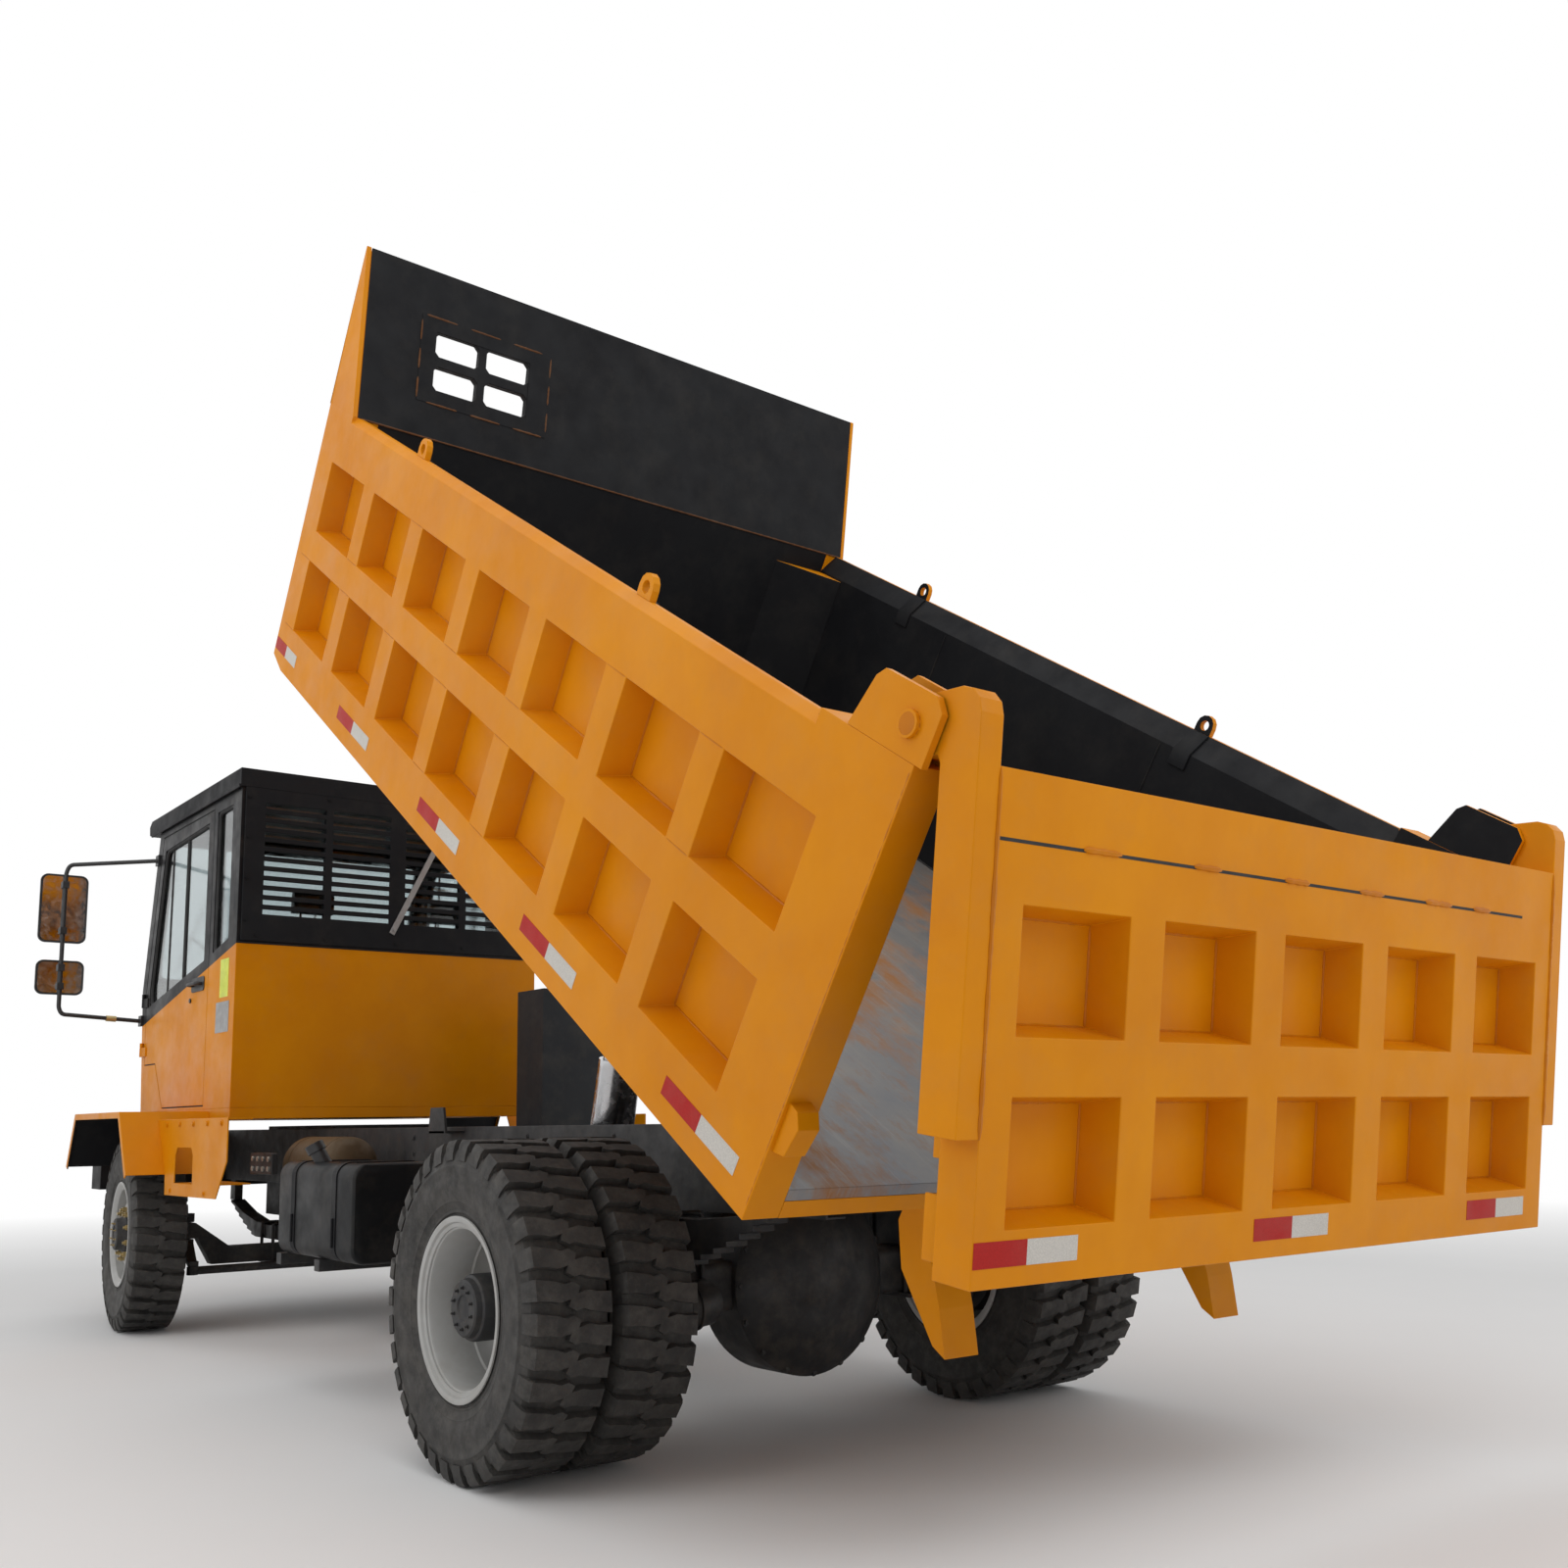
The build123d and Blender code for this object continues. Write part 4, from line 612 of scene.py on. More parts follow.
# one lug seen from above, along the rolling direction and across
LUG_TOP = (
    (-0.033, 0.128), (0.031, 0.128), (0.034, 0.08), (0.041, 0.052), (0.034, 0.016), (0.02, -0.012),
    (-0.004, -0.02), (-0.018, 0.004), (-0.012, 0.03), (-0.022, 0.06))
# its outer end, which runs down the shoulder between these places along
LUG_ENDS = (-0.033, 0.031)
LUG_SHOULDER = (
    (0.5435, 0.128), (0.528, 0.1375), (0.5, 0.1445), (0.478, 0.1455), (0.478, 0.12), (0.535, 0.11))


def add_tyre(piece, centre_y):
    """A carcass with ribbed walls and two rows of staggered lugs."""
    wall = [(r, centre_y + y) for r, y in TYRE_WALL]
    piece.lathe(wall + [(r, centre_y - y) for r, y in reversed(TYRE_WALL)], count=102)
    pitch = 2 * math.pi / LUGS
    for half in BOTH:
        for i in range(LUGS):
            turn = pitch * (i + (0.5 if half < 0 else 0.0))

            def at(along, y, radius):
                a = turn + half * along / TYRE_R
                return (radius * math.cos(a), centre_y + half * y, radius * math.sin(a))

            foot = [at(a * 1.1, y * 1.01 + 0.001, LUG_FOOT_R) for a, y in LUG_TOP]
            crown = [at(a, y, TYRE_R - (LUG_END_DROP if y > LUG_END_Y else LUG_DROP)) for a, y in LUG_TOP]
            piece.solid([foot, crown])
            piece.solid([[at(a, y, r) for r, y in LUG_SHOULDER] for a in LUG_ENDS])


def wheel_place(name):
    """The frame of a wheel's body: its joint's place, +Y along its axis and outward."""
    joint = [j for j in frame["joints"] if j["name"] == name + "_spin"][0]
    along = Vector(joint["axis"]).normalized()
    left = 1 if joint["pos_m"][1] > 0 else -1
    up = Vector((0, 0, 1))
    turn = Matrix((along.cross(up), along * left, up)).transposed().to_4x4()
    return Matrix.Translation(joint["pos_m"]) @ turn


HALF_DUAL = 0.159
# the outer rear rim from its disc to its lip and back along the tyre's side
REAR_RIM = (
    (0.1, 0.009), (0.168, 0.009), (0.186, 0.014), (0.226, 0.05), (0.24, 0.068), (0.247, 0.09),
    (0.247, 0.118), (0.2525, 0.124), (0.2525, 0.262), (0.256, 0.27), (0.262, 0.272), (0.266, 0.28),
    (0.274, 0.2815), (0.278, 0.29), (0.29, 0.2935), (0.2965, 0.2925), (0.297, 0.287), (0.288, 0.2835),
    (0.262, 0.2785), (0.262, 0.0395), (0.288, 0.0345), (0.297, 0.031), (0.2965, 0.0255), (0.285, 0.0245),
    (0.2525, 0.033), (0.2525, 0.05), (0.222, 0.032))
# the front rim from the hub's flange to its lip and back
FRONT_RIM = (
    (0.104, 0.097), (0.15, 0.097), (0.168, 0.094), (0.186, 0.083), (0.215, 0.062), (0.24, 0.05),
    (0.2525, 0.052), (0.2525, 0.112), (0.258, 0.118), (0.266, 0.12), (0.274, 0.128), (0.288, 0.1335),
    (0.2965, 0.1325), (0.297, 0.127), (0.288, 0.1245), (0.262, 0.12), (0.262, -0.12), (0.288, -0.1245),
    (0.297, -0.127), (0.2965, -0.1325), (0.285, -0.1335), (0.2525, -0.118), (0.2525, 0.034), (0.236, 0.034),
    (0.208, 0.046), (0.178, 0.07), (0.16, 0.079), (0.104, 0.079))
REAR_HUB = (
    (0, 0.262), (0.04, 0.262), (0.044, 0.267), (0.086, 0.267), (0.092, 0.262), (0.096, 0.244),
    (0.105, 0.24), (0.108, 0.232), (0.108, 0.034), (0.126, 0.024), (0.16, 0.022), (0.164, 0.01),
    (0.1, 0.006), (0.061, 0.0), (0.061, 0.25), (0, 0.25))
BRAKE_DRUM = ((0.061, -0.02), (0.2, -0.02), (0.205, -0.04), (0.205, -0.23), (0.19, -0.24), (0.061, -0.24))
FRONT_HUB = (
    (0, 0.152), (0.046, 0.152), (0.05, 0.159), (0.08, 0.159), (0.088, 0.154), (0.092, 0.128),
    (0.102, 0.112), (0.108, 0.108), (0.112, 0.096), (0.112, 0.079), (0.1, 0.06), (0.1, -0.1), (0.043, -0.1),
    (0.043, 0.132), (0, 0.132))
NUT_CIRCLE = 0.1375
RIM_HOLES, HOLE_CIRCLE, HOLE_R = 8, 0.205, 0.026


def add_nuts(piece, circle_r, y, count, radius=0.016, height=0.024):
    """Nuts on their studs, evenly round the axle."""
    for a in turns(count, 0.5):
        at = Vector((circle_r * math.cos(a), y, circle_r * math.sin(a)))
        piece.rod(at, at + Vector((0, height, 0)), radius, 6)
        piece.rod(at, at + Vector((0, height + 0.012, 0)), radius * 0.55, 12)


def rear_wheels(side):
    """Twin tyres, twin rims and the hub with its brake drum."""
    body = "wheels_r" + side
    at = (ONE, body, wheel_place(body))
    tyres = Piece("twin_tyres_" + side, "rubber", *at)
    add_tyre(tyres, HALF_DUAL)
    add_tyre(tyres, -HALF_DUAL)
    tyres.done(replaces=("tyres_r" + side,))
    rims = Piece("twin_rims_" + side, "rim", *at)
    outline = [*REAR_RIM, *((r, -y) for r, y in reversed(REAR_RIM))]
    rims.lathe(outline, count=96).done(replaces=("rims_r" + side,))
    hub = Piece("rear_hub_" + side, "iron", *at).lathe(REAR_HUB)
    add_nuts(hub, NUT_CIRCLE, 0.02, 10)
    add_nuts(hub, 0.066, 0.265, 10, 0.007, 0.002)
    hub.lathe(BRAKE_DRUM).done()


def front_wheel(side):
    """A tyre, a rim with round holes, the hub and its nuts."""
    body = "wheel_f" + side
    at = (ONE, body, wheel_place(body))
    tyre = Piece("front_tyre_" + side, "rubber", *at)
    add_tyre(tyre, 0.0)
    tyre.done(replaces=("tyre_f" + side,))
    rim = Piece("front_rim_" + side, "rim", *at).lathe(FRONT_RIM, count=96)
    rim = rim.done(replaces=("rim_f" + side,))
    holes = Piece("holes_" + side, "rim", *at)
    for a in turns(RIM_HOLES, 0.5):
        x, z = HOLE_CIRCLE * math.cos(a), HOLE_CIRCLE * math.sin(a)
        holes.rod((x, 0.02, z), (x, 0.12, z), HOLE_R, 24)
    cut_away(rim, holes)
    Piece("front_hub_" + side, "iron", *at).lathe(FRONT_HUB).done()
    nuts = Piece("front_nuts_" + side, "brass", *at)
    add_nuts(nuts, NUT_CIRCLE, 0.097, 10)
    add_nuts(nuts, 0.065, 0.156, 8, 0.007, 0.004)
    nuts.done()


def cut_away(piece, tool):
    """Takes a tool's volume out of a piece's mesh."""
    bmesh.ops.recalc_face_normals(tool.bm, faces=tool.bm.faces)
    tool.bm.transform(tool.place)
    cutter = tool.placed()
    cut = piece.modifiers.new("cut", "BOOLEAN")
    cut.operation = "DIFFERENCE"
    cut.solver = "EXACT"
    cut.object = cutter
    graph = bpy.context.evaluated_depsgraph_get()
    result = bpy.data.meshes.new_from_object(piece.evaluated_get(graph))
    piece.modifiers.remove(cut)
    piece.data = result
    bpy.data.objects.remove(cutter)


# Bed and tailgate

BED_HALF, SIDE_T, SKIN_T, SIDE_H = 1.36, 0.114, 0.014, 1.2
INNER_Y = BED_HALF - SIDE_T
BOARD_U, BOARD_TOP_U, BOARD_TOP_W = 4.063, 4.371, 1.87
POCKET_FIRST_U, POCKET_PITCH, POCKET_L, POCKETS = 0.262, 0.58, 0.447, 7
POCKET_ROWS = ((0.207, 0.535), (0.667, 0.978))
POCKET_INSET = 0.025
GATE_REAR, GATE_HALF = 0.195, 1.265
GATE_ROWS = ((-0.677, -0.388), (-1.097, -0.809))
GATE_COLUMNS = 5
GATE_PITCH, GATE_POCKET, GATE_DEPTH, GATE_INSET = 0.4935, 0.365, 0.105, 0.022
WELD_R = 0.0045
# the tapes' ends along the side and across the tailgate, white end first
SIDE_TAPES = ((4.06, 4.37), (3.03, 3.42), (2.03, 2.43), (1.06, 1.46), (0.09, 0.48))
SIDE_TAPE_W = (0.07, 0.125)
GATE_TAPES = ((0.93, 1.262), (-0.075, 0.258), (-1.155, -0.81))
GATE_TAPE_Z = (-1.176, -1.119)
TAPE_T = 0.0012
# stretches of the slot below the tailgate's top beam, drawn as dark strips that paint the shadow in the
# recess
GATE_SLOT = (
    (0.975, 1.262), (0.571, 0.863), (0.191, 0.482), (-0.161, 0.101), (-0.505, -0.261), (-0.778, -0.63),
    (-1.07, -0.858))
GATE_SLOT_Z = (-0.254, -0.246)
# the headboard's window frame: its spans across and up the board, then its four bars
WINDOW = ((0.46, 1.09), (0.155, 0.535))
WINDOW_BARS = (((0.46, 1.09), (0.155, 0.218)), ((0.46, 1.09), (0.474, 0.535)),
               ((1.02, 1.09), (0.218, 0.474)), ((0.46, 0.563), (0.218, 0.474)))


def on_bed(name, look, sides=BOTH):
    return Piece(name, look, sides, "bed", BED)


def on_gate(name, look, sides=ONE):
    return Piece(name, look, sides, "tailgate", GATE)


def pocket_floors():
    """The corners of each recess's floor, on the bed's left side."""
    y = INNER_Y + SKIN_T
    for low, high in POCKET_ROWS:
        for i in range(POCKETS):
            u = POCKET_FIRST_U + i * POCKET_PITCH
            yield [(a, y, b) for a, b in corners((u + POCKET_INSET, u + POCKET_L - POCKET_INSET),
                                                 (low + POCKET_INSET, high - POCKET_INSET))]


def gate_floors():
    """The corners of each recess's floor in the tailgate."""
    half = GATE_POCKET / 2 - GATE_INSET
    for low, high in GATE_ROWS:
        for i in range(GATE_COLUMNS):
            y = (i - GATE_COLUMNS // 2) * GATE_PITCH
            yield [(GATE_DEPTH - GATE_REAR, a, b) for a, b in
                   corners((y - half, y + half), (low + GATE_INSET, high - GATE_INSET))]


def frame_welds(piece, floors):
    """Beads round each recess's floor."""
    seed = 1
    for floor in floors:
        for a, b in zip(floor, floor[1:] + floor[:1]):
            seed += 1
            piece.bead(a, b, WELD_R, seed=seed)


def bed_details():
    """Welds, seams, the headboard's window frame, tapes, straps and latch keepers."""
    welds = on_bed("side_welds", "weld")
    frame_welds(welds, pocket_floors())
    # ribs are welded to the slab where they cross the long rails
    draw = random.Random(5)
    gap = POCKET_PITCH - POCKET_L
    face_y = BED_HALF - 0.0005
    for i in range(POCKETS + 1):
        u = POCKET_FIRST_U - gap + i * POCKET_PITCH
        for w in POCKET_ROWS[0] + POCKET_ROWS[1]:
            if draw.random() < 0.55 and i:
                welds.bead((u + 0.006, face_y, w), (u + gap - 0.006, face_y, w), 0.0022,
                           seed=i * 7 + int(w * 10))
    welds.bead((0.383, BED_HALF - 0.001, SIDE_H - 0.004), (0.383, INNER_Y, SIDE_H + 0.004), 0.005, seed=88)
    welds.bead((0.006, BED_HALF - 0.002, 0.03), (0.006, BED_HALF - 0.002, SIDE_H), 0.003, seed=89)
    welds.done()

    seams = on_bed("wall_seams", "black_weld")
    y = INNER_Y - 0.001
    for u, seed in ((1.5, 21), (2.95, 22)):
        seams.bead((u, y, 0.09), (u, y, 1.1), 0.004, 0.03, seed)
    seams.bead((0.02, y, 0.087), (3.86, y, 0.087), 0.006, 0.016, 23)
    seams.done()
    window_frame()

    for look, share in (("tape_white", (0.0, 0.5)), ("tape_red", (0.5, 1.0))):
        def half(a, b):
            return [a + (b - a) * s for s in share]

        strip = on_bed("side_" + look, look)
        for ends in SIDE_TAPES:
            strip.block(half(*ends), (BED_HALF - 0.001, BED_HALF + TAPE_T), SIDE_TAPE_W)
        strip.done()
        strip = on_gate("gate_" + look, look)
        for ends in GATE_TAPES:
            strip.block((-GATE_REAR - TAPE_T, -GATE_REAR + 0.001), half(*ends), GATE_TAPE_Z)
        strip.done()

    straps = on_bed("lift_eye_straps", "black")
    for u in (1.38, 3.29):
        straps.prism(((1.306, 1.196), (1.247, 1.11), (1.247, 1.045), (1.237, 1.045),
                      (1.237, 1.112), (1.299, 1.202)), "x", (u - 0.045, u + 0.045))
    straps.done(0.002)
    keeper = ((0.004, 0.2), (-0.045, 0.215), (-0.06, 0.3), (-0.035, 0.335), (0.004, 0.34))
    on_bed("latch_keepers", "yellow").prism(keeper, "y", (BED_HALF - 0.08, BED_HALF - 0.012)).done(0.003)


def window_frame():
    """The headboard's welds and the bars round its left window."""
    board = on_bed("board_weld", "rust", ONE)
    u = BOARD_U - 0.003
    board.bead((u, -BED_HALF + 0.03, SIDE_H), (u, BED_HALF - 0.03, SIDE_H), 0.0042, 0.013, 31).done()
    patch = on_bed("window_frame_weld", "rust", ONE)
    run = Vector((BOARD_TOP_U - BOARD_U, 0, BOARD_TOP_W - SIDE_H)).normalized()

    def on_board(y, along):
        return Vector((BOARD_U - 0.0015, y, SIDE_H)) + run * along

    spots = corners(*WINDOW)
    for i, (a, b) in enumerate(zip(spots, spots[1:] + spots[:1])):
        for k in range(3):
            p, q = [[a[j] + (b[j] - a[j]) * t for j in (0, 1)] for t in (k / 3 + 0.03, k / 3 + 0.26)]
            patch.bead(on_board(*p), on_board(*q), 0.0045, 0.012, 40 + i * 3 + k)
    patch.done()
    plate = on_bed("window_frame", "black", ONE)
    normal = Vector((run.z, 0, -run.x))
    for bar in WINDOW_BARS:
        ring = [on_board(y, s) for y, s in corners(*bar)]
        plate.solid([[p + normal * 0.002 for p in ring], [p - normal * 0.0012 for p in ring]])
    plate.done()


def gate_details():
    """The tailgate's welds, its slot drawn as a painted shadow, seal tacks and pin caps."""
    welds = on_gate("gate_welds", "weld")
    frame_welds(welds, gate_floors())
    welds.done()
    # the slot is a recess: these dark strips, a hair proud of the rear face, are its painted shadow
    slot = on_gate("gate_slot", "dark_rubber_and_shadow")
    for span in GATE_SLOT:
        slot.block((-GATE_REAR - 0.0008, -GATE_REAR + 0.001), span, GATE_SLOT_Z)
    slot.done()
    tabs = on_gate("gate_slot_welds", "weld")
    for i, ((high, _), (_, low)) in enumerate(zip(GATE_SLOT, GATE_SLOT[1:])):
        tabs.bead((-GATE_REAR, low - 0.01, -0.2475), (-GATE_REAR, high + 0.01, -0.2475),
                  0.008, 0.014, 60 + i)
    for y, seed in ((GATE_HALF, 71), (-GATE_HALF, 72)):
        tabs.bead((-GATE_REAR, y, -0.9), (-GATE_REAR, y, -0.1), 0.006, 0.02, seed)
    tabs.done()
    dots = on_gate("seal_tacks", "weld", BOTH)
    for i in range(19):
        z = -0.29 - i * 0.035
        dots.bead((-0.074, 1.24, z - 0.008), (-0.074, 1.24, z + 0.008), 0.006, 0.006, i)
    dots.done()
    cap = ((0, 0.014), (0.026, 0.0135), (0.032, 0.009), (0.034, 0.0), (0, 0.0))
    on_bed("gate_pin_caps", "weld").lathe(cap, (0.06, BED_HALF - 0.001, 1.29), count=40).done()


# Cab

# the outer face of the cab's sides
WALL = 0.94
CAB_REAR = 3.835
# outlines on the cab's side, (x, z)
DOOR_PANE = ((4.43, 2.125), (5.56, 1.935), (5.575, 2.04), (5.35, 2.93), (4.43, 2.96))
QUARTER_PANE = ((3.985, 2.215), (4.265, 2.155), (4.265, 2.995), (3.985, 2.995))
DOOR_JAMB = (
    (4.331, 1.271), (5.182, 1.271), (5.38, 1.554), (5.622, 1.554), (5.656, 2.04), (5.404, 3.024),
    (4.331, 3.024))
DOOR_TRIM = ((4.4, 1.34), (5.15, 1.34), (5.33, 1.6), (5.56, 1.62), (5.56, 1.85), (4.4, 1.98))
# the guard's bolts on the left, (y, z)
GUARD_BOLTS = (
    (0.9, 3.02), (0.9, 2.786), (0.9, 2.55), (0.9, 2.31), (0.433, 3.055), (0.837, 2.225), (0.433, 2.225))
SCREEN_ROUND = ((-0.85, 2.12), (0.85, 2.12), (0.85, 3.01), (-0.85, 3.01), (-0.85, 2.12))


def screen_x(z):
    """The windscreen's leaning face."""
    return 5.75 - 0.265 * (z - 2.044) / 1.03


def nose_x(z):
    """The cab's front below the windscreen."""
    return 5.656 + 0.094 * (z - 1.192) / 0.852


def tube_round(piece, outline, y, radius, count, bend, steps=5):
    """A tube round an outline on the cab's side."""
    return piece.pipe([(x, y, z) for x, z in (*outline, outline[0])], radius, count, bend, steps)


def door_details():
    """Gaskets and bars round the panes, handles and inner trim, and the seals of the openings."""
    y = WALL - 0.026
    for side, tag in ((1, "l"), (-1, "r")):
        body = ((side,), "door_" + tag)
        seal = Piece("door_gasket_" + tag, "dark_rubber_and_shadow", *body)
        tube_round(seal, DOOR_PANE, WALL - 0.018, 0.014, 8, 0.07)
        seal.pipe([(4.9, y, 2.046), (4.9, y, 2.942)], 0.016, 8)
        seal.pipe([(5.25, y, 1.99), (5.23, y, 2.932)], 0.01, 8)
        seal.done()
        handle = Piece("door_handle_" + tag, "plastic", *body)
        handle.prism(rounded((4.395, 4.64), (1.95, 2.035), 0.02), "y", (WALL - 0.002, WALL + 0.006))
        out = WALL + 0.042
        handle.pipe([(4.43, WALL, 1.992), (4.43, out, 1.992), (4.6, out, 1.992), (4.6, WALL, 1.992)],
                    0.011, 10, 0.02)
        handle.rod((4.66, WALL - 0.002, 1.905), (4.66, WALL + 0.008, 1.905), 0.014, 20)
        handle.done(0.001)
        trim = Piece("door_trim_" + tag, "plastic", *body)
        trim.prism(DOOR_TRIM, "y", (WALL - 0.072, WALL - 0.058))
        near, deep = WALL - 0.06, WALL - 0.105
        trim.pipe([(4.48, near, 1.8), (4.48, deep, 1.8), (4.9, deep, 1.78), (4.9, near, 1.78)], 0.015)
        trim.done(0.003)
    seals = Piece("quarter_gaskets", "dark_rubber_and_shadow", BOTH)
    tube_round(seals, QUARTER_PANE, WALL - 0.018, 0.014, 8, 0.05).done()
    jamb = Piece("door_jamb_seals", "dark_rubber_and_shadow", BOTH)
    tube_round(jamb, DOOR_JAMB, WALL - 0.006, 0.0036, 6, 0.02, 3).done()


def screen_details():
    """The windscreen's gasket and its wipers."""
    loop = [(screen_x(z) - 0.012, y, z) for y, z in SCREEN_ROUND]
    Piece("screen_gasket", "dark_rubber_and_shadow").pipe(loop, 0.016, 8, 0.06).done()
    wipers = Piece("wipers", "plastic")
    for y in (0.3, -0.45):
        wipers.rod((5.735, y, 2.085), (5.762, y, 2.095), 0.022, 20)
        wipers.pipe([(5.756, y, 2.094), (screen_x(2.3) + 0.03, y + 0.2, 2.3),
                     (screen_x(2.42) + 0.022, y + 0.36, 2.42)], 0.007, 8)
        wipers.pipe([(screen_x(z) + off, y + over, z) for z, off, over in
                     ((2.17, 0.008, 0.44), (2.42, 0.012, 0.36), (2.68, 0.008, 0.28))], 0.006, 6)
    wipers.done()


def rear_and_roof():
    """The rear guard's bolts, bars and brace, the panel's seam, gutters and roof lamps."""
    guard = Piece("guard_bolts", "black")
    spots = [(y * side, z) for side in BOTH for y, z in GUARD_BOLTS] + [(0.0, 3.055), (0.0, 2.225)]
    guard.bolts([(CAB_REAR - 0.012, y, z) for y, z in spots], (-1, 0, 0), 0.01, 0.007)
    for y in (0.0, 0.427, -0.427):
        guard.block((CAB_REAR + 0.001, CAB_REAR + 0.03), (y - 0.018, y + 0.018), (2.29, 3.03))
    guard.done()
    panel = Piece("rear_panel_seam", "dark_rubber_and_shadow")
    panel.block((CAB_REAR - 0.0008, CAB_REAR + 0.001), (-0.935, 0.935), (2.176, 2.181)).done()
    brace = Piece("guard_brace", "plate")
    brace.prism(((0.016, 2.274), (0.047, 2.289), (-0.245, 2.875), (-0.275, 2.86)), "x", (3.815, 3.8235))
    brace.bolts([(3.815, 0.018, 2.308)], (-1, 0, 0)).done(0.001)
    Piece("roof_gutter", "black", BOTH).block((3.823, 5.64), (0.95, 0.962), (3.066, 3.086)).done(0.002)
    lamps = Piece("roof_marker_lamps", "lens", BOTH)
    for y in (0.2, 0.7):
        lamps.prism(rounded((5.61, 5.68), (y - 0.06, y + 0.06), 0.025), "z", (3.15, 3.2 - 0.022))
    lamps.done(0.006)


def front_and_skirt():
    """Blank labels, nose vents, lamps and the skirt's bolts."""
    label = Piece("blank_label", "label")
    label.block((3.95, 4.1), (WALL - 0.001, WALL + 0.0012), (1.88, 2.1)).done()
    plate = Piece("blank_plate", "plate")
    plate.block((3.92, 4.155), (WALL - 0.001, WALL + 0.0015), (1.68, 1.855)).done()
    vents = rounded((-0.66, 0.66), (1.33, 1.86), 0.04)
    rings = [[(nose_x(z) + off, y, z) for y, z in vents] for off in (-0.002, 0.004)]
    Piece("nose_vents", "plastic").solid(rings).done()
    lamp = Piece("headlamp_inners", "zinc", BOTH)
    for y in (0.925, 1.055):
        lamp.lathe([(0.0, 0.014), (0.02, 0.015), (0.046, 0.024), (0.05, 0.026), (0.05, 0.004),
                    (0.0, 0.004)], (5.7585, y, 0.98), (1, 0, 0), 32)
    lamp.done()
    blinker = rounded((0.7, 0.8), (0.93, 1.02), 0.02)
    Piece("indicators", "red_lens", BOTH).prism(blinker, "x", (5.758, 5.782)).done(0.004)
    skirt = Piece("skirt_bolts", "yellow", BOTH)
    skirt.bolts([(x, 1.22, 1.165) for x in (3.05, 3.28, 3.52, 3.76, 4.0)], (0, 1, 0), 0.012, 0.009)
    skirt.bolts([(x, 1.22, 0.81) for x in (3.3, 3.9)], (0, 1, 0), 0.01, 0.008).done()


def mirror_sets():
    """Tube arms with moulded mirror heads and their glasses."""
    arms = Piece("mirror_arms", "plastic", BOTH)
    pole_x, pole_y = 5.75, 1.446
    arms.pipe([(5.507, 0.948, 2.89), (pole_x - 0.004, pole_y - 0.02, 2.852), (pole_x, pole_y, 2.8),
               (pole_x, pole_y, 1.92), (pole_x - 0.002, pole_y - 0.02, 1.88), (5.742, 0.948, 1.85)],
              0.0135, 14, 0.06, 7)
    for x, z in ((5.507, 2.89), (5.742, 1.85)):
        arms.block((x - 0.035, x + 0.028), (0.939, 0.955), (z - 0.035, z + 0.035))
    for z in (2.72, 2.42, 2.18, 2.06):
        arms.block((pole_x - 0.02, pole_x + 0.02), (pole_y - 0.02, pole_y + 0.02), (z - 0.022, z + 0.022))
    arms.done(0.0015, replaces=("mirrors",))
    for tag, z in (("tall", (2.342, 2.788)), ("small", (2.006, 2.228))):
        shell = rounded((1.305, 1.59), z, 0.045)
        stations = [(pole_x + off, share) for off, share in
                    ((0.014, 0.97), (0.012, 1.0), (0.03, 1.0), (0.05, 0.93), (0.061, 0.78))]
        Piece("mirror_shell_" + tag, "plastic", BOTH).solid(
            tapered(shell, (1.4475, sum(z) / 2), stations)).done()
        glass = rounded((1.318, 1.577), (z[0] + 0.013, z[1] - 0.013), 0.036)
        Piece("mirror_glass_" + tag, "mirror", BOTH).prism(
            glass, "x", (pole_x + 0.0145, pole_x + 0.0108)).done()
    Piece("mirror_fittings", "brass", BOTH).rod(
        (5.7455, 1.1, 1.8592), (5.7465, 1.16, 1.8625), 0.019, 20).done()


# Chassis

TANK_X = (1.35, 2.23)
# the air drum's axis, (y, z)
DRUM_AXIS = (0.7, 0.945)
# a spring's place, with the height of its bolts' ends and of their bends
SPRING_BOLTS = ((0, 0.545, 0.44, 0.815), (FRONT_AXLE_X, 0.375, 0.33, 0.566))
AXLE_BOWL = (
    (0, -0.23), (0.12, -0.229), (0.185, -0.215), (0.25, -0.185), (0.305, -0.15), (0.335, -0.125),
    (0.35, -0.11), (0.35, 0.11), (0.32, 0.118), (0.24, 0.12), (0.15, 0.24), (0.11, 0.34), (0.085, 0.36),
    (0, 0.36))
BRAKE_POT = (
    (0, 0.0), (0.05, 0.0), (0.078, 0.02), (0.08, 0.055), (0.088, 0.058), (0.088, 0.068), (0.08, 0.071),
    (0.08, 0.13), (0.064, 0.155), (0, 0.16))
BRAKE_POT_AT = (-0.19, 0.66, 0.5)


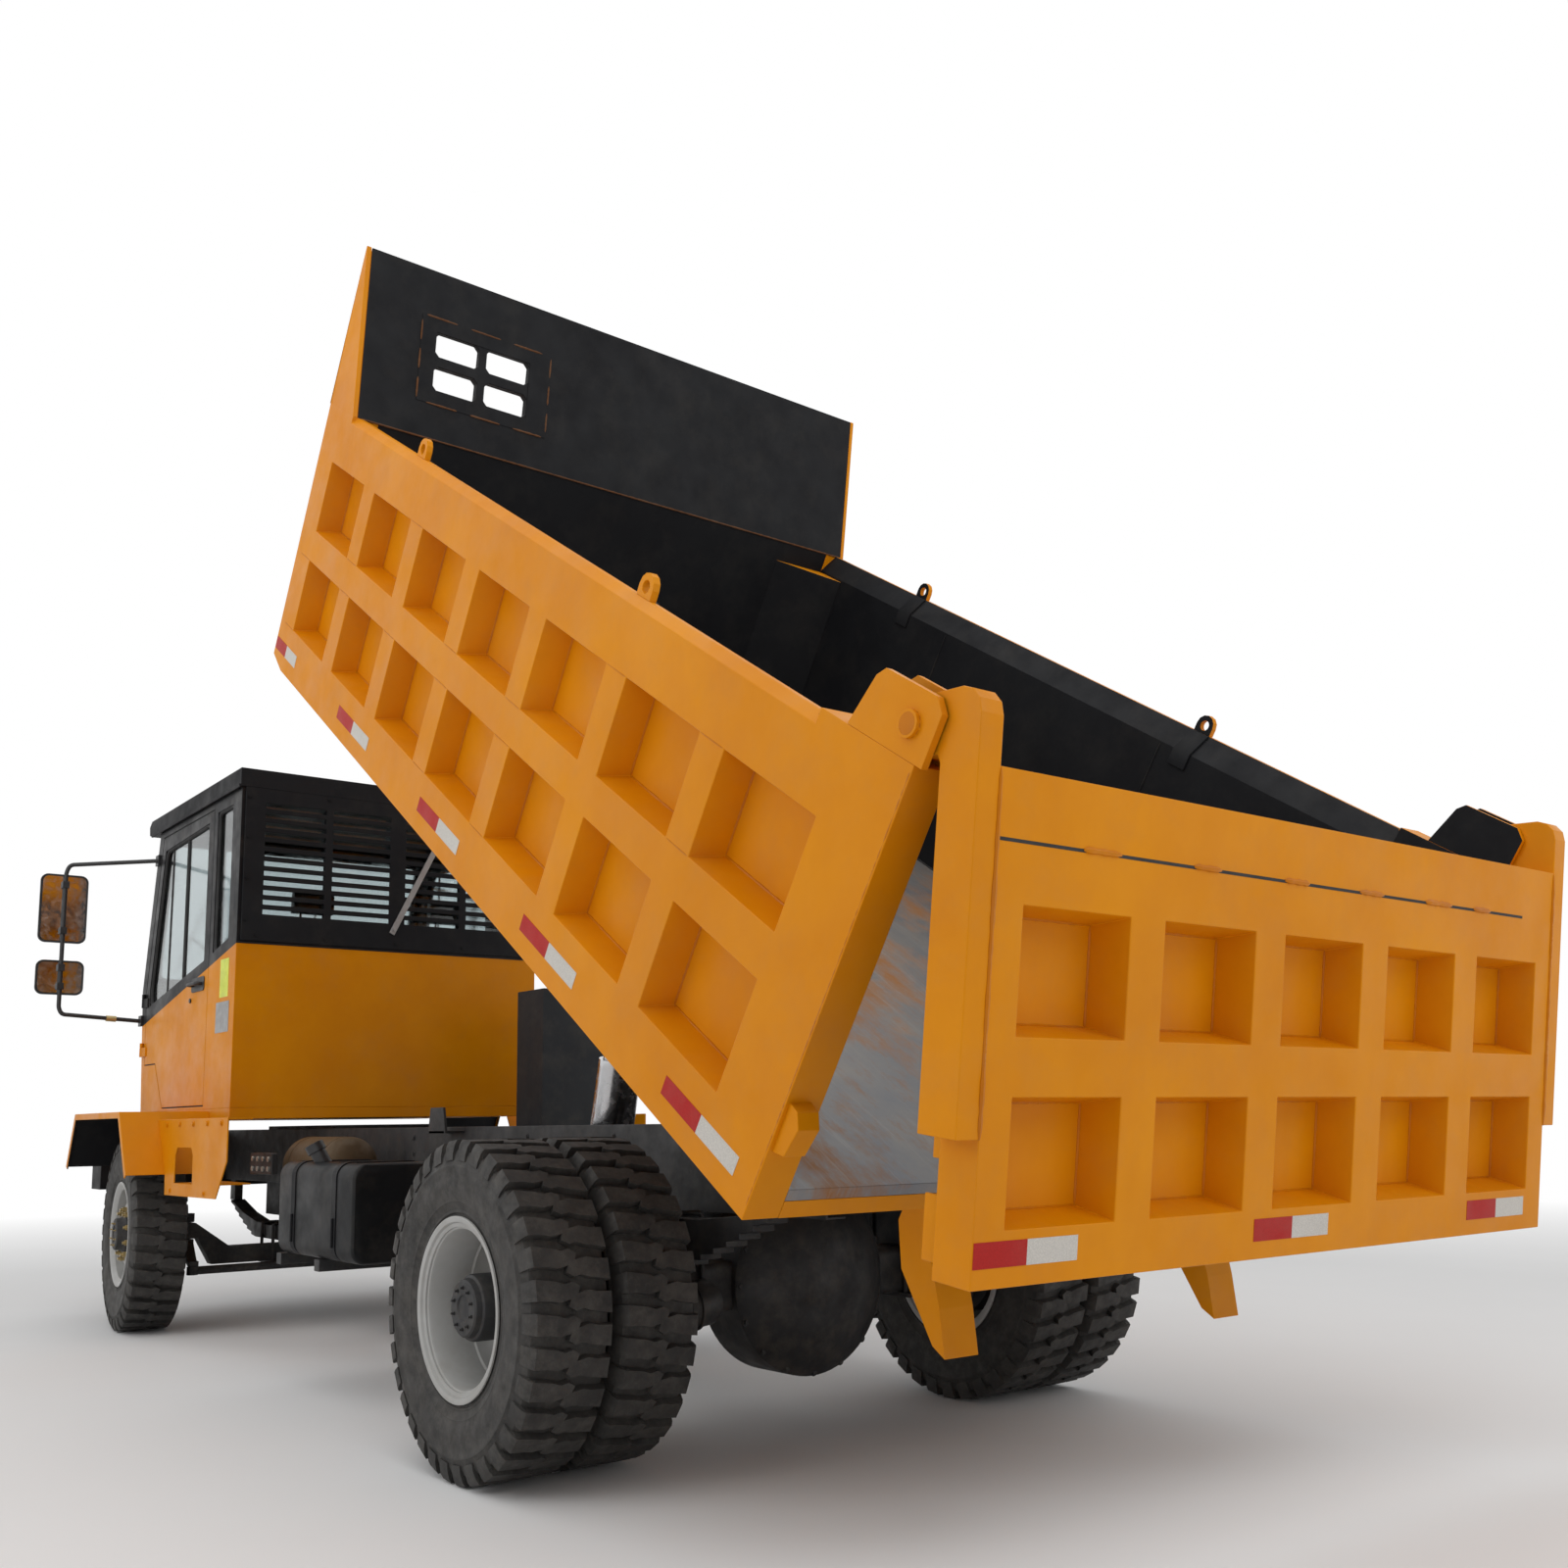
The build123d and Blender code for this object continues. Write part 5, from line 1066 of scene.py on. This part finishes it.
def fuel_tank():
    """The tank with its seams, straps and filler."""
    tank = Piece("fuel_tank_body", "tank")
    rear, front = TANK_X
    stations = ((rear, 0.955), (rear + 0.006, 0.985), (rear + 0.018, 1.0), (front - 0.018, 1.0),
                (front - 0.006, 0.985), (front, 0.955))
    tank.solid(tapered(rounded((0.82, 1.205), (0.578, 0.986), 0.06, 7), (1.0125, 0.782), stations))
    for x in (1.46, 1.66, 1.86, 2.13):
        tank.bead((x, 0.88, 0.9865), (x, 1.15, 0.9865), 0.003, 0.02, int(x * 100))
    tank.done(0.0, 40, replaces=("fuel_tank",))
    straps = Piece("tank_straps", "black")
    outer = rounded((0.8175, 1.2095), (0.578, 0.9905), 0.064, 7)
    inner = rounded((0.8215, 1.2035), (0.582, 0.9845), 0.058, 7)
    for x in (1.53, 2.01):
        for quad in zip(outer, outer[1:] + outer[:1], inner[1:] + inner[:1], inner):
            straps.prism(quad, "x", (x, x + 0.045))
        straps.rod((x + 0.0225, 1.213, 0.64), (x + 0.0225, 1.213, 0.76), 0.006, 10)
    straps.done()
    filler = Piece("tank_filler", "plastic")
    filler.rod((1.9, 1.11, 0.955), (1.926, 1.153, 1.045), 0.034, 28)
    filler.rod((1.922, 1.146, 1.03), (1.932, 1.162, 1.064), 0.042, 12).done(0.002)


def air_drum():
    """The air drum and the terminal box beside it."""
    drum = Piece("air_drum_body", "drum")
    end = ((0, 0.0), (0.05, 0.004), (0.1, 0.018), (0.132, 0.045), (0.1425, 0.08), (0.1435, 0.09))
    length = 0.71
    outline = [*end, *((r, length - x) for r, x in reversed(end))]
    drum.lathe(outline, (2.6, *DRUM_AXIS), (1, 0, 0), 56, False)
    for x in (2.74, 3.17):
        drum.lathe(corners((0.143, 0.1448), (-0.018, 0.018)), (x, *DRUM_AXIS), (1, 0, 0), 56)
    drum.rod((2.604, *DRUM_AXIS), (2.582, *DRUM_AXIS), 0.018, 12)
    drum.done(replaces=("air_drum",))
    Piece("terminal_box", "plastic").block((3.07, 3.4), (0.925, 0.958), (0.9, 1.01)).done(0.006)
    studs = Piece("terminal_studs", "zinc")
    for i in range(4):
        for z in (0.93, 0.98):
            studs.rod((3.11 + i * 0.08, 0.956, z), (3.11 + i * 0.08, 0.966, z), 0.013, 16)
    studs.done()


def axle_details():
    """Rail brackets, the rear axle's body, brake chambers and the springs' bolts."""
    clips = Piece("rail_brackets", "chassis", BOTH)
    clips.block((1.975, 2.145), (0.419, 0.524), (1.1, 1.112))
    clips.prism(((1.963, 1.1), (2.155, 1.1), (2.13, 1.222), (1.99, 1.222)), "y", (0.512, 0.524))
    for x in (-0.45, 0.62, 1.35, 2.55, 3.45):
        clips.bolts([(x, 0.42, z) for z in (0.9, 1.0, 1.08)], (0, 1, 0))
    clips.done(0.001)

    axle = Piece("rear_axle_body", "iron")
    z = TYRE_R
    axle.lathe(AXLE_BOWL, (0, 0, z), (1, 0, 0), 72, False)
    axle.bolts([(-0.118, 0.335 * math.cos(a), z + 0.335 * math.sin(a)) for a in turns(16)],
               (-1, 0, 0), 0.011, 0.01)
    axle.prism(rounded((-0.085, 0.085), (z - 0.09, z + 0.09), 0.03), "y", (-0.79, 0.79))
    axle.rod((0, -1.336, z), (0, 1.336, z), 0.0548, 32)
    for side in BOTH:
        axle.rod((0, side * 0.79, z), (0, side * 0.804, z), 0.198, 40)
    axle.done(0.0015, 32, replaces=("rear_axle",))
    pots = Piece("brake_chambers", "chassis", BOTH)
    pots.lathe(BRAKE_POT, BRAKE_POT_AT, (0, -1, 0.12), 36, False)
    x, y, z = BRAKE_POT_AT
    pots.rod(BRAKE_POT_AT, (x + 0.01, y + 0.14, z - 0.02), 0.009, 10).done()
    ubolts = Piece("spring_bolts", "iron", BOTH)
    for x, y, low, high in SPRING_BOLTS:
        near, far = y - 0.056, y + 0.056
        for dx in (-0.1, 0.1):
            ubolts.pipe([(x + dx, near, low), (x + dx, near, high), (x + dx, far, high),
                         (x + dx, far, low)], 0.01, 10, 0.02)
        ubolts.block((x - 0.13, x + 0.13), (y - 0.07, y + 0.07), (low, low + 0.018))
    ubolts.done(0.002)


# the hoist's place across, the radii of its barrel, stages and rod, and its closed length
HOIST_Y = 0.21
HOIST_RADII = (0.112, 0.094, 0.077, 0.06)
HOIST_CLOSED, HOIST_STAGES = 0.54, 3


def hoist_parts():
    """Smooth tubes round the hoist's axis, one pair per stage."""
    lower = Vector((1.1 + AXLE_X, HOIST_Y, 0.64))
    upper = BED @ Vector((2.6, 0, -0.11))
    upper.y = HOIST_Y
    along = (upper - lower).normalized()
    length = (upper - lower).length
    stroke = (length - HOIST_CLOSED) / HOIST_STAGES
    top = HOIST_CLOSED - 0.13

    def part(name, look, body):
        return Piece(name, look, BOTH, body, Matrix())

    barrel = part("hoist_outer", "oil_tank", "hoist_barrels")
    r, bore = HOIST_RADII[0] - 0.0005, HOIST_RADII[1] + 0.001
    rim = r + 0.005
    barrel.lathe([(0, -0.226), (rim, -0.226), (rim, -0.206), (r, -0.204), (r, top - 0.05),
                  (rim, top - 0.046), (rim, top - 0.004), (r, top), (bore, top), (bore, -0.2),
                  (0, -0.2)], lower, along, 48)
    barrel.rod(lower + Vector((0, r - 0.01, 0)), lower + Vector((0, 0.21, 0)), 0.0295, 24)
    barrel.done(replaces=("hoist_barrels",))
    for i in (1, 2):
        body = "hoist_stage_%d" % i
        r, bore = HOIST_RADII[i] - 0.0008, HOIST_RADII[i + 1] + 0.0008
        rim = r + 0.0005
        high = top + i * 0.012 + i * stroke
        low = -0.196 + i * stroke
        part("hoist_tube_%d" % i, "chrome", body).lathe(
            [(r, low), (r, high - 0.03), (rim, high - 0.028), (rim, high), (bore, high), (bore, low)],
            lower, along, 48).done(replaces=(body,))
    rods = part("hoist_inner", "chrome", "hoist_rods")
    rods.rod(lower + along * (HOIST_STAGES * stroke - 0.196), lower + along * (length - 0.056),
             HOIST_RADII[3] - 0.0008, 48)
    eye = ((0.05, -0.045), (0.064, -0.045), (0.066, -0.042), (0.066, 0.042), (0.064, 0.045), (0.05, 0.045))
    rods.lathe(eye, lower + along * length, count=48).done(replaces=("hoist_rods",))


# Cab interior

SEAT_Y = 0.43
# points of a section, as shares of its half width and of its thickness
CUSHION = (
    (-1, 0.15), (-1, 0.75), (-0.86, 1.0), (-0.45, 0.86), (0, 0.82), (0.45, 0.86), (0.86, 1.0), (1, 0.75),
    (1, 0.15), (0.8, 0.0), (-0.8, 0.0))
BACKREST = (
    (-1, 0.1), (-1, 0.7), (-0.85, 1.0), (-0.5, 0.72), (0, 0.66), (0.5, 0.72), (0.85, 1.0), (1, 0.7),
    (1, 0.1), (0.8, 0.0), (-0.8, 0.0))


def cushion_rings(y):
    """A crowned cushion as rings of points from its back to its front."""
    x0, x1, half, z0, z1 = 4.125, 4.645, 0.25, 1.555, 1.672
    rings = []
    for t in (0.0, 0.06, 0.3, 0.6, 0.9, 1.0):
        x = x0 + (x1 - x0) * t
        edge, rise = (0.8, 0.55) if t in (0.0, 1.0) else (1.0, 1.0)
        rings.append([(x, y + half * edge * a, z0 + (z1 - z0) * (b * rise + (1 - rise) * 0.3))
                      for a, b in CUSHION])
    return rings


def back_rings(y):
    """A backrest with side bolsters, leaning back a little."""
    rings = []
    for t in (0.0, 0.05, 0.3, 0.6, 0.92, 1.0):
        z = 1.69 + 0.67 * t
        back = 4.128 - 0.1 * t
        half = 0.238 * (1 - 0.25 * t * t) * (0.85 if t in (0.0, 1.0) else 1.0)
        front = 0.1 * (0.7 if t in (0.0, 1.0) else 1.0)
        rings.append([(back + front * b, y + half * a, z) for a, b in BACKREST])
    return rings


def interior():
    """Padded seats, the dashboard's gauges and the steering wheel."""
    for y, tag in ((-SEAT_Y, "right"), (SEAT_Y, "left")):
        for name, rings in (("cushion", cushion_rings(y)), ("back", back_rings(y))):
            pad = Piece("seat_%s_%s" % (name, tag), "cloth").solid(rings)
            made = pad.done(smooth=60.0, replaces=("seats",))
            soft = made.modifiers.new("soft", "SUBSURF")
            soft.levels = soft.render_levels = 1
        stand = Piece("seat_stand_" + tag, "plastic")
        stand.block((4.2, 4.57), (y - 0.17, y + 0.17), (1.254, 1.54))
        stand.block((4.14, 4.63), (y - 0.235, y + 0.235), (1.53, 1.56))
        headrest = ((4.028, 2.4), (4.098, 2.4), (4.08, 2.538), (4.032, 2.538))
        stand.prism(headrest, "y", (y - 0.12, y + 0.12))
        for dy in (-0.07, 0.07):
            stand.pipe([(4.07, y + dy, 2.3), (4.066, y + dy, 2.42)], 0.007, 8)
        stand.done(0.008, replaces=("seats",))
    wheel = Piece("steering_rim", "plastic")
    hub = Vector((4.985, SEAT_Y, 2.12))
    axis = (Vector((5.23, SEAT_Y, 1.901)) - hub).normalized()
    rim = [(0.214 + 0.0145 * math.cos(a), 0.0135 * math.sin(a)) for a in turns(14)]
    wheel.lathe(rim, hub, axis, 60)
    for end in circle(hub, axis, 0.206, 3, 0.5):
        wheel.pipe([hub, end], 0.01, 8)
    wheel.rod(hub - axis * 0.012, hub + axis * 0.03, 0.052, 28, 0.036)
    wheel.rod(hub, Vector((5.226, SEAT_Y, 1.905)), 0.022, 20)
    wheel.done(replaces=("steering_wheel",))
    dials = Piece("gauges", "zinc")
    for y in (0.36, 0.5):
        dials.lathe([(0.04, 0.0), (0.05, 0.0), (0.05, 0.008), (0.044, 0.01)], (5.176, y, 2.026),
                    (-0.707, 0, 0.707), 28)
    dials.done()


# Studio

SKY_LEVEL = 0.55
FLOOR_R = 60.0
FLOOR_Z = -0.001
FLOOR_FADE = (7.0, 16.0)
# name, place, aimed at, width and height, watts
LAMPS = (
    ("roof_lamp", (-3.0, 3.0, 11.0), (0, 0, 1.0), (10.0, 10.0), 330.0),
    ("rear_lamp", (-11.0, -3.0, 7.0), (-2.0, 0, 1.5), (7.0, 5.0), 190.0),
    ("left_lamp", (1.0, 12.0, 7.0), (0, 0, 1.5), (8.0, 5.0), 240.0),
)


def studio():
    """Pale floor that fades into a white backdrop, and soft lamps."""
    world = bpy.data.worlds.new("backdrop")
    bpy.context.scene.world = world
    g = Graph(world)
    path = g.add("ShaderNodeLightPath").outputs
    seen = path["Is Camera Ray"]
    for kind in ("Is Glossy Ray", "Is Transmission Ray"):
        seen = g.math("MAXIMUM", seen, path[kind])
    background = g.tree.nodes["Background"].inputs
    g.feed(background["Strength"], g.ramp(seen, 0.0, 1.0, SKY_LEVEL))
    g.feed(background["Color"], WHITE)

    bpy.ops.mesh.primitive_circle_add(vertices=64, radius=FLOOR_R, fill_type="NGON",
                                      location=(0, 0, FLOOR_Z))
    floor = bpy.context.object
    floor.name = "floor"
    floor.data.materials.append(floor_material())

    for name, place, aim, size, watts in LAMPS:
        light = bpy.data.lights.new(name, "AREA")
        light.shape = "RECTANGLE"
        light.size, light.size_y = size
        light.energy = watts
        lamp = add_object(name, light)
        lamp.location = place
        lamp.rotation_euler = (Vector(aim) - Vector(place)).to_track_quat("-Z", "Y").to_euler()
    bpy.context.scene.view_settings.view_transform = "Standard"


def floor_material():
    """Pale matt paint near the truck, plain white far from it."""
    g = Paint("floor_paint")
    g.finish(g.mix(g.noise(0.8, 3.0, 0.5), (0.84, 0.84, 0.84), (0.88, 0.88, 0.88)), 0.9)
    glow = g.add("ShaderNodeEmission", {"Color": WHITE})
    distance = g.add("ShaderNodeVectorMath", {0: g.coords}, operation="LENGTH").outputs["Value"]
    blend = g.add("ShaderNodeMixShader", {0: g.ramp(distance, *FLOOR_FADE), 1: g.shader.outputs[0],
                                          2: glow.outputs[0]})
    g.feed(g.tree.nodes["Material Output"].inputs["Surface"], blend.outputs[0])
    return g.owner


def photo_camera():
    """The photo's camera, from its fitted place, heading and focal length."""
    camera = bpy.data.cameras.new("photo_camera")
    camera.sensor_width = 36.0
    camera.lens = FOCAL_PX / PHOTO_PX * camera.sensor_width
    camera.shift_x = (PHOTO_PX / 2 - CENTRE_PX[0]) / PHOTO_PX
    camera.shift_y = (CENTRE_PX[1] - PHOTO_PX / 2) / PHOTO_PX
    camera.clip_end = 200.0
    forward = Vector((math.cos(CAMERA_YAW) * math.cos(CAMERA_PITCH),
                      -math.sin(CAMERA_YAW) * math.cos(CAMERA_PITCH), math.sin(CAMERA_PITCH)))
    level_right = Vector((-math.sin(CAMERA_YAW), -math.cos(CAMERA_YAW), 0))
    level_up = level_right.cross(forward)
    right = level_right * math.cos(CAMERA_ROLL) + level_up * math.sin(CAMERA_ROLL)
    up = -level_right * math.sin(CAMERA_ROLL) + level_up * math.cos(CAMERA_ROLL)
    turn = Matrix((right, up, -forward)).transposed().to_4x4()
    holder = add_object("photo_camera", camera)
    holder.matrix_world = TRUCK @ Matrix.Translation(CAMERA_AT) @ turn
    bpy.context.scene.camera = holder


PIECES = (bed_details, gate_details, door_details, screen_details, rear_and_roof, front_and_skirt,
          mirror_sets, fuel_tank, air_drum, axle_details, hoist_parts, interior)

dress_nodes()
for side in ("l", "r"):
    rear_wheels(side)
    front_wheel(side)
for make in PIECES:
    make()
studio()
photo_camera()
